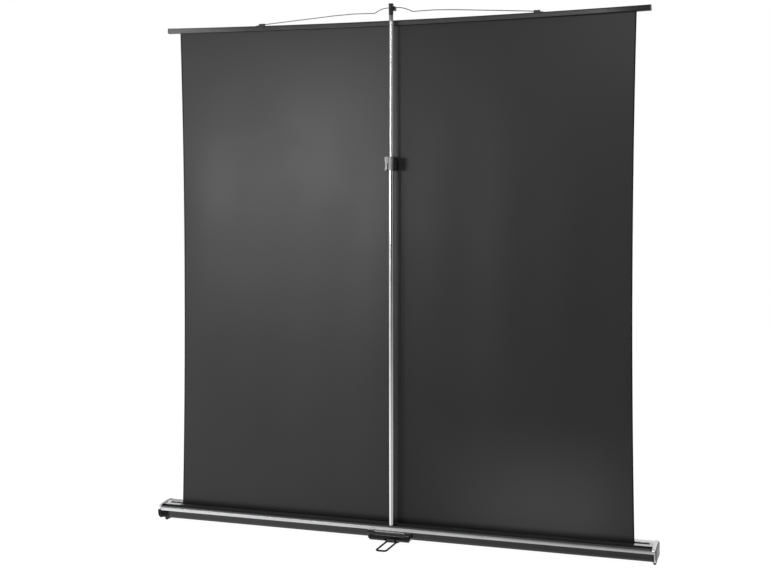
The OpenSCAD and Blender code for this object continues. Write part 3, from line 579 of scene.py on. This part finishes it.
@dataclass(frozen=True)
class Grained(Finish):
    """Plastic, rubber, sprayed paint or felt: an even grain with soft marks, rubbed edges, and dust, which on
    gloss paint is a painted highlight on upward faces.
    """

    pores: float = 1500.0
    depth: float = 0.00003
    marks: float = 45.0
    tones: Span = (0.85, 1.2)
    dust_and_highlight: float = 0.0
    dust_and_highlight_colour: Colour = (0.3, 0.29, 0.28)
    wear: float = 0.25
    wear_radius: float = 0.0006
    wear_colour: Colour = (0.09, 0.09, 0.095)
    specular: float = 0.3
    coat: float = 0.0
    coat_roughness: float = 0.08
    sheen: float = 0.0

    def paint(self, graph: Graph, shader: Any, effects: Effects) -> None:
        """Feeds the shader with grain, marks, rubbed edges, dust and the painted highlight of gloss paint, a
        clear coat and a nap.

        Args:
            graph: Graph of the material.
            shader: Inputs of its Principled shader.
            effects: Shared node groups.
        """
        place = graph.place()
        grain = graph.effect(effects.grain, Vector=place, Scale=self.pores, Patches=self.marks)
        colour = self.tone(graph, grain.outputs["Patch"], self.tones)
        if self.wear > 0.0:
            wear = graph.effect(effects.wear, Vector=place, Radius=self.wear_radius, Amount=self.wear)
            colour = graph.blend(wear.outputs["Mask"], colour, rgba(self.wear_colour))
        # Dust on upward faces; on gloss paint the same mask paints a highlight there.
        if self.dust_and_highlight > 0.0:
            dust_and_highlight = graph.effect(effects.dust_and_highlight, Vector=place, Amount=self.dust_and_highlight)
            colour = graph.blend(dust_and_highlight.outputs["Mask"], colour, rgba(self.dust_and_highlight_colour))
        graph.feed(shader["Base Color"], colour)
        graph.feed(shader["Roughness"], self.uneven_roughness(graph, grain.outputs["Patch"]))
        graph.feed(shader["Specular IOR Level"], self.specular)
        graph.feed(shader["Coat Weight"], self.coat)
        graph.feed(shader["Coat Roughness"], self.coat_roughness)
        graph.feed(shader["Sheen Weight"], self.sheen)
        graph.feed(shader["Normal"], graph.bump(grain.outputs["Height"], self.depth))


@dataclass(frozen=True)
class CoatedCloth(Finish):
    """Coated screen cloth: a weave with uneven threads under a smooth coat, with handling marks.

    Shaded cloth is duller right of the pole, paler low on the right under a painted glow of bounced light,
    and darker just above the case under painted shade.
    """

    pitch: float = 0.0009
    depth: float = 0.00002
    slub_tones: Span = (0.9, 1.1)
    marks: float = 2.2
    mark_tone: float = 1.12
    mark_share: float = 0.35
    specular: float = 0.25
    shaded: bool = False
    dull_edge: Span = (-0.042, -0.024)
    dull_share: float = 0.45
    # The next fields set a painted glow of bounced light low on the right, and painted shade just above the
    # case.
    glow_colour: Colour = (0.08, 0.08, 0.082)
    glow_height: Span = (0.12, 0.56)
    glow_inner: Span = (-0.6, 0.0)
    glow_outer: Span = (-0.95, -0.7)
    glow_rim: float = 0.4
    case_shade_height: Span = (0.072, 0.102)
    case_shade_share: float = 0.72
    case_shade_tone: float = 0.12

    def paint(self, graph: Graph, shader: Any, effects: Effects) -> None:
        """Feeds the shader with weave, slubs, marks and, on shaded cloth, painted light and shade.

        Args:
            graph: Graph of the material.
            shader: Inputs of its Principled shader.
            effects: Shared node groups.
        """
        place = graph.place()
        weave = graph.effect(effects.weave, Vector=place, Pitch=self.pitch)
        marks = graph.effect(effects.grain, Vector=place, Patches=self.marks).outputs["Patch"]
        colour = self.tone(graph, weave.outputs["Slub"], self.slub_tones)
        marked = graph.math("MULTIPLY", marks, self.mark_share)
        colour = graph.blend(marked, colour, rgba(self.colour, self.mark_tone))
        specular: Value = self.specular
        if self.shaded:
            across, _, height = graph.axes(place)
            dulled = self.specular * (1.0 - self.dull_share)
            specular = graph.remap(across, self.dull_edge, (dulled, self.specular))
            # Painted glow: bounced light painted as a paler colour low on the right half.
            rise = graph.remap(height, self.glow_height, (1.0, 0.0))
            inner = graph.remap(across, self.glow_inner, (1.0, 0.0))
            outer = graph.remap(across, self.glow_outer, (self.glow_rim, 1.0))
            glow = graph.math("MULTIPLY", rise, graph.math("MULTIPLY", inner, outer))
            colour = graph.blend(glow, colour, rgba(self.glow_colour))
            # Painted shade just above the case: a darker colour and less sheen where the slot shades the
            # cloth.
            case_shade = graph.remap(height, self.case_shade_height, (self.case_shade_share, 0.0))
            colour = graph.blend(case_shade, colour, rgba(self.colour, self.case_shade_tone))
            specular = graph.math("MULTIPLY", specular, graph.math("SUBTRACT", 1.0, case_shade))
        graph.feed(shader["Base Color"], colour)
        graph.feed(shader["Roughness"], self.uneven_roughness(graph, marks))
        graph.feed(shader["Specular IOR Level"], specular)
        graph.feed(shader["Normal"], graph.bump(weave.outputs["Height"], self.depth))


Look = Union[Slot, Finish]
Looks = dict[str, Look]


class Finishes:
    """Every finish of the screen, built on demand and kept."""

    BRIGHT = DrawnMetal(
        "bright_anodised", ALUMINIUM, roughness=0.32, spread=0.04, grain=Grain.ALONG_X, density=800.0,
        depth=0.000002, dust_and_highlight=0.02,
    )
    DARK = DrawnMetal(
        "dark_anodised", (0.075, 0.075, 0.077), roughness=0.36, spread=0.05, grain=Grain.ALONG_X,
        density=700.0, dust_and_highlight=0.05, wear=0.2,
    )
    TUBE = DrawnMetal(
        "pole_aluminium", (0.84, 0.845, 0.86), roughness=0.15, spread=0.04, grain=Grain.ALONG_Z,
        density=1600.0, depth=0.000001,
    )
    # The gloss black paint's dust setting of 0.5 is mostly a painted highlight: it paints the upward faces
    # grey, with some dust.
    PAINT = Grained(
        "gloss_black", (0.005, 0.005, 0.0055), roughness=0.16, spread=0.05, pores=420.0, depth=0.00006,
        marks=30.0, tones=(1.0, 1.0), dust_and_highlight=0.5, wear=0.35, wear_radius=0.0008,
        wear_colour=(0.16, 0.16, 0.165), specular=0.2, coat=0.3,
    )
    CATALOGUE: dict[Slot, Finish] = {
        # The case body is painted near black past 0.957 m at the left end: painted shade at the end of the
        # case.
        Slot.DARK_ANODISED: replace(DARK, beyond=(Beyond(Side.LEFT, 0.957, NEAR_BLACK, fade=0.012),)),
        Slot.BRIGHT_ANODISED: BRIGHT,
        Slot.POLE_ALUMINIUM: TUBE,
        Slot.BLACK_PLASTIC: Grained("black_plastic", (0.016, 0.016, 0.018), roughness=0.4),
        Slot.GLOSS_BLACK: PAINT,
        Slot.BLACK_STEEL: replace(
            PAINT, name="black_steel", colour=DEEP_BLACK, roughness=0.3, spread=0.06, depth=0.00003,
            dust_and_highlight=0.05, specular=0.1, coat=0.0,
        ),
        Slot.STEEL: DrawnMetal("steel", (0.52, 0.53, 0.55), roughness=0.3, spread=0.08),
        Slot.DARK_STEEL: DrawnMetal("dark_steel", (0.1, 0.1, 0.105), roughness=0.34),
        Slot.BRASS: DrawnMetal("brass", (0.72, 0.52, 0.22), roughness=0.3),
        Slot.RUBBER: Grained(
            "rubber", (0.022, 0.022, 0.022), roughness=0.75, spread=0.08, pores=900.0, depth=0.00005,
            dust_and_highlight=0.12, wear=0.1,
        ),
        Slot.FELT: Grained(
            "felt", (0.03, 0.03, 0.03), roughness=0.95, spread=0.04, pores=2600.0, depth=0.0004,
            marks=260.0, tones=(0.6, 1.5), wear=0.0, specular=0.5, sheen=0.4,
        ),
        # The back of the cloth is shaded: a painted glow low on the right and painted shade just above the
        # case.
        Slot.SCREEN_CLOTH: CoatedCloth(
            "screen_cloth_back", (0.031, 0.031, 0.032), roughness=0.38, spread=0.02, specular=0.41,
            shaded=True,
        ),
    }
    # The top bar's left end is painted paler as painted light, and its right end painted darker as painted
    # shade.
    TOP_BAR = replace(
        DARK, name="top_bar_anodised", colour=(0.056, 0.056, 0.058),
        beyond=(
            Beyond(Side.LEFT, 0.55, (0.21, 0.21, 0.215), roughness=0.45, fade=0.5),
            Beyond(Side.RIGHT, 0.78, (0.025, 0.025, 0.026), roughness=0.45, fade=0.2),
        ),
    )
    # The rear lip is painted darker along the middle as painted shade and a painted dark reflection of the
    # cloth, painted lit at both ends past 0.93 m, and painted in shade on its half towards the pole.
    REAR_LIP = replace(
        BRIGHT, name="rear_lip_metal", colour=(0.32, 0.322, 0.328),
        beyond=(
            Beyond(Side.LEFT, 0.93, LIT_METAL),
            Beyond(Side.RIGHT, 0.93, LIT_METAL),
            Beyond(Side.POLE_SIDE, -0.0346, (0.04, 0.04, 0.041)),
        ),
    )
    # The shoulder trim's upper slope is painted dark grey as painted shade.
    SHOULDER = replace(
        BRIGHT, name="shoulder_metal",
        beyond=(Beyond(Side.SLOPING_TOP, 0.057, (0.085, 0.085, 0.087), roughness=0.35, fade=0.0105),),
    )
    # Painted shade on the end covers: each dome is painted in shaded metal past 1.012 m from the middle, and
    # the cover at the left end is also painted near black below 0.056 m.
    DARK_DOME = replace(
        BRIGHT, name="end_cover_dark_dome", roughness=0.3, grain=Grain.NONE,
        beyond=(Beyond(Side.RIGHT, 1.012, SHADED_METAL, roughness=0.3),),
    )
    DARK_SKIRT = replace(
        DARK_DOME, name="end_cover_dark_skirt",
        beyond=(
            Beyond(Side.LEFT, 1.012, SHADED_METAL, roughness=0.3),
            Beyond(Side.UNDERSIDE, -0.056, NEAR_BLACK),
        ),
    )
    CLAMP = DrawnMetal(
        "clamp_casting", (0.24, 0.24, 0.245), roughness=0.44, spread=0.12, grain=Grain.ALONG_Z,
        density=420.0, depth=0.00012, tone_spread=0.5,
        beyond=(Beyond(Side.RIGHT, 0.0112, DEEP_BLACK, roughness=0.6),),
    )
    # The slot plugs are painted near white past 0.9 m at the left end as painted light.
    SLOT_PLUG = replace(
        BRIGHT, name="slot_plug_metal", colour=(0.7, 0.705, 0.72), dust_and_highlight=0.0,
        beyond=(Beyond(Side.LEFT, 0.9, (0.9, 0.9, 0.9), roughness=0.5),),
    )
    # The upper tube carries painted reflections, a dark stripe and a pale stripe along its flanks, and
    # painted shade just under the head, above 2.012 m.
    UPPER_TUBE = replace(
        TUBE, name="upper_tube_aluminium", roughness=0.27, spread=0.02, depth=0.0000002,
        beyond=(
            Beyond(Side.LEFT_FLANK, -0.0026, (0.12, 0.12, 0.122), fade=0.0012),
            Beyond(Side.RIGHT_FLANK, 0.0088, (0.7, 0.7, 0.71), fade=0.0012),
            Beyond(Side.TOP, 2.012, (0.25, 0.25, 0.253), fade=0.016),
        ),
    )
    CLIP = Grained("clip_plastic", (0.05, 0.05, 0.052), roughness=0.45)
    GREY_CAP = Grained("grey_cap_plastic", (0.2, 0.2, 0.205), roughness=0.5)
    PICTURE = CoatedCloth(
        "screen_cloth_picture", (0.85, 0.85, 0.845), roughness=0.85, spread=0.02, mark_share=0.08
    )
    BORDER = CoatedCloth("screen_cloth_border", (0.012, 0.012, 0.012), roughness=0.8, spread=0.05)
    EDGE = CoatedCloth("screen_cloth_edge", (0.014, 0.014, 0.015), roughness=0.6, spread=0.05, specular=0.3)

    def __init__(self, effects: Effects) -> None:
        """Takes the shared node groups and starts with no material made."""
        self.effects = effects
        self.made: dict[str, bpy.types.Material] = {}

    def of(self, look: Look) -> bpy.types.Material:
        """Finds or makes a material.

        Args:
            look: Slot of the record, or a finish of its own.

        Returns:
            The material.
        """
        chosen = self.CATALOGUE[look] if isinstance(look, Slot) else look
        if chosen.name not in self.made:
            self.made[chosen.name] = chosen.build(self.effects)
        return self.made[chosen.name]


def add_mesh(
    name: str, points: Sequence[Point], faces: Sequence[Sequence[int]],
    materials: Sequence[bpy.types.Material],
) -> bpy.types.Object:
    """Adds a mesh object at the origin.

    Args:
        name: Name of the piece.
        points: Vertices in the frame of the model.
        faces: Corners of each face.
        materials: Its materials.

    Returns:
        The new object.
    """
    mesh = bpy.data.meshes.new(name)
    mesh.from_pydata(points, [], faces)
    mesh.validate()
    mesh.update()
    for material in materials:
        mesh.materials.append(material)
    piece = bpy.data.objects.new(name, mesh)
    bpy.context.scene.collection.objects.link(piece)
    return piece


def even_steps(stops: Sequence[float], step: float) -> list[float]:
    """Divides a line between stops into even steps.

    Args:
        stops: Places that stay, in rising order.
        step: Longest step between two places.

    Returns:
        All places, the stops among them.
    """
    places = [stops[0]]
    for low, high in zip(stops, stops[1:]):
        count = max(1, math.ceil((high - low) / step))
        places.extend(low + (high - low) * (k + 1) / count for k in range(count))
    return places


@dataclass
class SubAssembly:
    """CAD nodes that belong together, with the pieces that are added to them."""

    LOOKS: ClassVar[Looks] = {}
    finishes: Finishes

    def dress(self) -> None:
        """Gives every CAD node its finish."""
        for name, look in self.LOOKS.items():
            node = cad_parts[name]
            material = self.finishes.of(look)
            if not node.material_slots:
                node.data.materials.append(material)
            for place in node.material_slots:
                place.material = material
            LOG.info("dressed %s with %s", name, material.name)

    def build(self) -> None:
        """Adds the pieces that the CAD nodes lack, where there are any."""


@dataclass(frozen=True)
class Wave:
    """A slack wave of the fabric: its share of the height, its start, and its turns across, fanned and up."""

    share: float
    phase: float = 0.0
    across: float = 0.0
    fanned: float = 0.0
    up: float = 0.0


class ClothPart(Enum):
    """Parts of the fabric sheet, with the places of their materials and their looks."""

    BACK = (0, Slot.SCREEN_CLOTH)
    PICTURE = (1, Finishes.PICTURE)
    BORDER = (2, Finishes.BORDER)
    EDGE = (3, Finishes.EDGE)


@dataclass
class ScreenFabric(SubAssembly):
    """The stretched fabric: dark coated back, white picture with black borders on the front."""

    half_width: float = 0.93
    thickness: float = 0.0005
    edge_bow: float = 0.012
    bar_length: float = 1.964
    bar_bow: float = 0.012
    case_top: float = 0.073
    bar_low: float = 2.007
    picture_half: float = 0.9
    picture_low: float = 0.177
    picture_high: float = 1.977
    hem_edge: float = 0.006
    travel: float = 0.46
    waves: tuple[Wave, ...] = (
        Wave(share=1.0, phase=0.7, across=9.0),
        Wave(share=0.6, phase=-1.1, across=23.0, up=1.5),
        Wave(share=0.5, fanned=5.0, up=7.0),
    )
    wave_height: float = 0.0011
    held_end: float = 0.03
    belly: float = 0.004
    curl: float = 0.0022
    curl_power: int = 14
    step: float = 0.018
    plane: float = field(init=False)
    foot: float = field(init=False)
    hem_middle: float = field(init=False)
    columns: list[float] = field(init=False)
    rows: list[float] = field(init=False)

    def __post_init__(self) -> None:
        """Takes the plane, the foot and the hem from the CAD solid, and divides the sheet."""
        low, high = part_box("screen_fabric")
        self.plane = (low.y + high.y) / 2
        self.foot = low.z
        self.hem_middle = high.z - self.bow_at(self.half_width)
        side = self.half_width - self.hem_edge
        self.columns = even_steps(
            (-self.half_width, -side, -self.picture_half, self.picture_half, side, self.half_width),
            self.step,
        )
        self.rows = even_steps(
            (self.foot, self.case_top, self.picture_low, self.picture_high, self.bar_low, self.hem_middle),
            self.step,
        )

    def bow_at(self, x: float) -> float:
        """Returns how far the bowed bar rises above its middle at a place along it."""
        return self.bar_bow * (2.0 * x / self.bar_length) ** 2

    def depth_at(self, u: float, t: float) -> float:
        """Gives how far the fabric leaves its plane.

        Args:
            u: Place across, from -1 to 1.
            t: Place up, from 0 at the roller to 1 at the hem.

        Returns:
            Distance towards +Y.
        """
        free = min(max((t - self.held_end) / (1.0 - 2.0 * self.held_end), 0.0), 1.0)
        waves = sum(
            wave.share * math.sin(wave.phase + wave.across * u + wave.fanned * u * u + wave.up * t)
            for wave in self.waves
        )
        slack = self.wave_height * waves - self.belly * (1.0 - u * u) - self.curl * abs(u) ** self.curl_power
        return math.sin(math.pi * free) * slack

    def point_at(self, x: float, z: float, out: float) -> Point:
        """Places one corner of the sheet.

        Args:
            x: Place across, before the edges are drawn in.
            z: Height, before the upper end is bowed.
            out: Distance from the middle of the thickness, towards +Y.

        Returns:
            The corner.
        """
        u = x / self.half_width
        t = (z - self.foot) / (self.hem_middle - self.foot)
        drawn_in = self.edge_bow * 4.0 * t * (1.0 - t)
        top = self.hem_middle + self.bow_at(x)
        return (
            u * (self.half_width - drawn_in),
            self.plane + self.depth_at(u, t) + out,
            self.foot + t * (top - self.foot),
        )

    def part_at(self, on_back: bool, x: float, z: float) -> ClothPart:
        """Chooses the part of the cloth that a face belongs to.

        Args:
            on_back: Whether the face is on the back.
            x: Place across.
            z: Height.

        Returns:
            The part.
        """
        if abs(x) > self.half_width - self.hem_edge:
            return ClothPart.EDGE
        if on_back:
            return ClothPart.BACK
        inside = abs(x) < self.picture_half and self.picture_low < z < self.picture_high
        return ClothPart.PICTURE if inside else ClothPart.BORDER

    def rim(self) -> list[int]:
        """Returns the numbers of the corners around the front, in order."""
        wide, tall = len(self.columns), len(self.rows)
        corners = list(range(wide))
        corners += [i * wide + wide - 1 for i in range(1, tall)]
        corners += [(tall - 1) * wide + j for j in range(wide - 2, -1, -1)]
        corners += [i * wide for i in range(tall - 2, 0, -1)]
        return corners

    def faces(self) -> tuple[list[tuple[int, ...]], list[int]]:
        """Returns the corners of every face and the places of their materials, front, back and rim."""
        wide, tall = len(self.columns), len(self.rows)
        faces: list[tuple[int, ...]] = []
        parts: list[int] = []
        for on_back in (False, True):
            start = wide * tall if on_back else 0
            for i, (low, high) in enumerate(zip(self.rows, self.rows[1:])):
                for j, (left, right) in enumerate(zip(self.columns, self.columns[1:])):
                    a = start + i * wide + j
                    quad = (a, a + 1, a + 1 + wide, a + wide)
                    faces.append(quad[::-1] if on_back else quad)
                    parts.append(self.part_at(on_back, (left + right) / 2, (low + high) / 2).value[0])
        rim = self.rim()
        for a, b in zip(rim, rim[1:] + rim[:1]):
            faces.append((b, a, wide * tall + a, wide * tall + b))
            parts.append(ClothPart.EDGE.value[0])
        return faces, parts

    def build(self) -> None:
        """Makes the sheet in the place of its CAD solid."""
        halves = (-self.thickness / 2, self.thickness / 2)
        points = [self.point_at(x, z, out) for out in halves for z in self.rows for x in self.columns]
        faces, parts = self.faces()
        materials = [self.finishes.of(part.value[1]) for part in ClothPart]
        sheet = add_mesh("screen_fabric_sheet", points, faces, materials)
        for polygon in sheet.data.polygons:
            polygon.use_smooth = True
        sheet.data.polygons.foreach_set("material_index", parts)
        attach(sheet, Body.BAR.value)
        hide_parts("screen_fabric")
        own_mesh(sheet)
        LOG.info("built %s with %d faces", sheet.name, len(faces))


@dataclass
class Roller(SubAssembly):
    """The spring roller with its plugs, bush, spindle and spring."""

    LOOKS: ClassVar[Looks] = {
        "roller_tube": Slot.BRIGHT_ANODISED,
        "fabric_roll": Slot.SCREEN_CLOTH,
        "roller_idle_plug": Slot.BLACK_PLASTIC,
        "roller_spring_plug": Slot.BLACK_PLASTIC,
        "roller_bush": Slot.BRASS,
        "spring_spindle": Slot.STEEL,
        "roller_spring": Slot.STEEL,
        "spring_anchor": Slot.BRASS,
    }


@dataclass
class Case(SubAssembly):
    """The floor case with its trims, ends, pads and pole socket."""

    LOOKS: ClassVar[Looks] = {
        "case_body": Slot.DARK_ANODISED,
        "case_front_cover": Slot.BRIGHT_ANODISED,
        "case_rear_lip": Finishes.REAR_LIP,
        "case_shoulder_trim": Finishes.SHOULDER,
        "slot_guides": Slot.FELT,
        "slot_plugs": Finishes.SLOT_PLUG,
        "end_frame_left": Slot.BLACK_PLASTIC,
        "end_frame_right": Slot.BLACK_PLASTIC,
        "end_cover_left": Finishes.DARK_DOME,
        "end_cover_right": Finishes.DARK_SKIRT,
        "end_frame_screws": Slot.STEEL,
        "foot_pads": Slot.RUBBER,
        "pole_socket": Slot.BLACK_PLASTIC,
    }


@dataclass
class TopBar(SubAssembly):
    """The top bar with its caps, hem rod, clips and bail."""

    LOOKS: ClassVar[Looks] = {
        "top_bar": Finishes.TOP_BAR,
        "top_bar_cap_left": Slot.BLACK_PLASTIC,
        "top_bar_cap_right": Finishes.GREY_CAP,
        "hem_rod": Slot.BRIGHT_ANODISED,
        "bail": Slot.DARK_STEEL,
        "bail_arm_left": Slot.DARK_STEEL,
        "bail_arm_right": Slot.DARK_STEEL,
        "bail_clips": Finishes.CLIP,
        "bail_clip_screws": Slot.STEEL,
    }


@dataclass
class Pole(SubAssembly):
    """The two tubes of the pole with the head, the lock and its lever."""

    LOOKS: ClassVar[Looks] = {
        "pole_lower_tube": Slot.POLE_ALUMINIUM,
        "pole_upper_tube": Finishes.UPPER_TUBE,
        "pole_foot_plug": Slot.BLACK_PLASTIC,
        "pole_guide_bush": Slot.BLACK_PLASTIC,
        "pole_head": Slot.BLACK_PLASTIC,
        "lock_collar": Finishes.CLAMP,
        "lock_lever": Finishes.CLAMP,
        "lock_pin": Slot.DARK_STEEL,
        "lock_shoe": Slot.BRASS,
        "lock_screws": Slot.BLACK_STEEL,
    }


@dataclass
class Foot(SubAssembly):
    """The saddle under the case and the wire foot that swivels under it."""

    LOOKS: ClassVar[Looks] = {
        "foot_bracket": Slot.GLOSS_BLACK,
        "foot_bracket_screws": Slot.STEEL,
        "foot_hub": Slot.BLACK_PLASTIC,
        "foot_loop": Slot.BLACK_STEEL,
        "foot_pivot_screw": Slot.STEEL,
        "foot_pivot_nut": Slot.STEEL,
        "foot_washer": Slot.STEEL,
    }


@dataclass(frozen=True)
class SoftBox:
    """A rectangular soft light, which gives either diffuse light and shadows or a sheen alone."""

    name: str
    place: Point
    target: Point
    size: Span
    power: float
    sheen: bool = True

    def build(self) -> None:
        """Adds the light, unseen by the camera."""
        light = bpy.data.lights.new(self.name, "AREA")
        light.shape = "RECTANGLE"
        light.size, light.size_y = self.size
        light.energy = self.power
        lamp = bpy.data.objects.new(self.name, light)
        lamp.location = self.place
        aim = Vector(self.target) - Vector(self.place)
        lamp.rotation_euler = aim.to_track_quat("-Z", "Y").to_euler()
        lamp.visible_camera = False
        lamp.visible_glossy = self.sheen
        lamp.visible_diffuse = not self.sheen
        bpy.context.scene.collection.objects.link(lamp)


@dataclass
class Studio:
    """White studio with a soft key light from the left. Its walls are angles in degrees and brightnesses."""

    LIGHTS: ClassVar[tuple[SoftBox, ...]] = (
        SoftBox("key", (2.05, 3.3, 1.55), (0.0, -0.06, 1.2), size=(0.28, 0.28), power=44.0, sheen=False),
        SoftBox("left_panel", (2.3, 3.46, 1.42), (0.5, -0.06, 1.4), size=(0.85, 0.45), power=15.5),
        SoftBox("middle_panel", (1.38, 3.46, 1.54), (0.1, -0.06, 1.5), size=(0.75, 0.6), power=18.0),
        SoftBox("right_panel", (-0.8, 3.46, 2.75), (-0.9, -0.06, 1.95), size=(0.5, 0.4), power=24.0),
    )
    walls: tuple[Span, ...] = (
        (-180.0, 0.85), (-96.0, 0.8), (-82.0, 0.6), (-70.0, 0.05), (-24.0, 0.04), (-8.0, 0.2), (8.0, 0.28),
        (20.0, 0.4), (30.0, 0.75), (60.0, 0.9), (96.0, 1.1), (128.0, 0.5), (156.0, 0.35), (171.0, 0.8),
        (180.0, 0.85),
    )
    ceiling: float = 0.45
    ceiling_height: Span = (0.55, 0.9)
    ground: Span = (0.5, 1.3)
    ground_turn: Span = (0.39, 0.49)
    ground_near: float = 0.15
    ground_near_height: Span = (-0.8, -0.38)
    ground_far_height: Span = (-0.2, -0.06)
    floor_half: float = 9.0
    floor_tone: Colour = (0.75, 0.75, 0.75)
    floor_glow: float = 1.15
    floor_glow_share: float = 0.85

    def build(self) -> None:
        """Adds the room, the floor and the lights."""
        self.build_world()
        self.build_floor()
        for light in self.LIGHTS:
            light.build()
        LOG.info("built the studio")

    def build_world(self) -> None:
        """Makes the room: white for the camera, brighter and dimmer walls for everything else."""
        world = bpy.data.worlds.new("studio_room")
        graph = Graph.fresh(world)
        bpy.context.scene.world = world
        side, depth, height = graph.axes(graph.node("ShaderNodeTexCoord").outputs["Generated"])
        turn = graph.math("ARCTAN2", side, depth)
        brightest = max(level for _, level in self.walls)
        ramp = graph.node("ShaderNodeValToRGB")
        ramp.color_ramp.interpolation = "EASE"
        stops = ramp.color_ramp.elements
        for stop, (angle, level) in zip((stops[0], stops[1]), (self.walls[0], self.walls[-1])):
            stop.position = angle / FULL_TURN + 0.5
            stop.color = rgba(WHITE, level / brightest)
        for angle, level in self.walls[1:-1]:
            stops.new(angle / FULL_TURN + 0.5).color = rgba(WHITE, level / brightest)
        graph.feed(ramp.inputs[0], graph.math("ADD", graph.math("DIVIDE", turn, 2.0 * math.pi), 0.5))
        walls = graph.math("MULTIPLY", ramp.outputs[0], brightest)
        top = graph.remap(height, self.ceiling_height, (0.0, self.ceiling))
        glow = graph.remap(turn, self.ground_turn, self.ground)
        far = graph.remap(height, self.ground_far_height, (1.0, 0.0))
        near = graph.remap(height, self.ground_near_height, (self.ground_near, 1.0))
        ground = graph.math("MULTIPLY", graph.math("MULTIPLY", far, near), glow)
        room = graph.math("MAXIMUM", graph.math("MAXIMUM", walls, top), ground)
        seen = graph.node("ShaderNodeBackground")
        graph.feed(seen.inputs["Color"], rgba(WHITE))
        lit = graph.node("ShaderNodeBackground")
        graph.feed(lit.inputs["Color"], rgba(WHITE))
        graph.feed(lit.inputs["Strength"], room)
        both = graph.for_camera(seen.outputs[0], lit.outputs[0])
        graph.feed(graph.node("ShaderNodeOutputWorld").inputs["Surface"], both)

    def build_floor(self) -> None:
        """Makes the pale floor, which takes only a faint shadow."""
        far = self.floor_half
        corners = [(-far, -far, 0.0), (far, -far, 0.0), (far, far, 0.0), (-far, far, 0.0)]
        material = bpy.data.materials.new("studio_floor")
        graph = Graph.fresh(material)
        paper = graph.node("ShaderNodeBsdfDiffuse")
        graph.feed(paper.inputs["Color"], rgba(self.floor_tone))
        glow = graph.node("ShaderNodeEmission")
        graph.feed(glow.inputs["Strength"], self.floor_glow)
        seen = graph.node("ShaderNodeMixShader")
        graph.feed(seen.inputs[0], self.floor_glow_share)
        graph.feed(seen.inputs[1], paper.outputs[0])
        graph.feed(seen.inputs[2], glow.outputs[0])
        both = graph.for_camera(seen.outputs[0], paper.outputs[0])
        graph.feed(graph.node("ShaderNodeOutputMaterial").inputs["Surface"], both)
        floor = add_mesh("studio_floor", corners, [(0, 1, 2, 3)], [material])
        floor.visible_glossy = False


@dataclass(frozen=True)
class StudioCamera:
    """Camera at the photograph's viewing angle, with angles in radians and the lens in millimetres."""

    place: Point = (-1.5554, 4.561, 1.3454)
    yaw: float = 0.332
    pitch: float = 0.025
    roll: float = -0.0011
    lens: float = 58.58
    sensor: float = 36.0
    shift_x: float = -0.0004
    shift_y: float = -0.0792
    reach: float = 60.0

    def build(self) -> None:
        """Adds the camera and makes it the scene's own."""
        lens = bpy.data.cameras.new("studio_camera")
        lens.lens = self.lens
        lens.sensor_width = self.sensor
        lens.shift_x = self.shift_x
        lens.shift_y = self.shift_y
        lens.clip_end = self.reach
        camera = bpy.data.objects.new("studio_camera", lens)
        ahead = Vector((
            math.sin(self.yaw) * math.cos(self.pitch),
            -math.cos(self.yaw) * math.cos(self.pitch),
            -math.sin(self.pitch),
        ))
        upright = ahead.to_track_quat("-Z", "Y")
        camera.rotation_mode = "QUATERNION"
        camera.rotation_quaternion = upright @ Quaternion((0.0, 0.0, 1.0), self.roll)
        camera.location = self.place
        bpy.context.scene.collection.objects.link(camera)
        bpy.context.scene.camera = camera


def main() -> None:
    """Builds the camera, the studio and every sub-assembly."""
    logging.basicConfig(level=logging.INFO, format="%(message)s")
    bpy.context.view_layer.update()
    bpy.context.scene.view_settings.view_transform = "Standard"
    StudioCamera().build()
    Studio().build()
    finishes = Finishes(Effects())
    kinds: tuple[type[SubAssembly], ...] = (ScreenFabric, Roller, Case, TopBar, Pole, Foot)
    for kind in kinds:
        part = kind(finishes)
        part.dress()
        part.build()


if __name__ == "__main__":
    main()
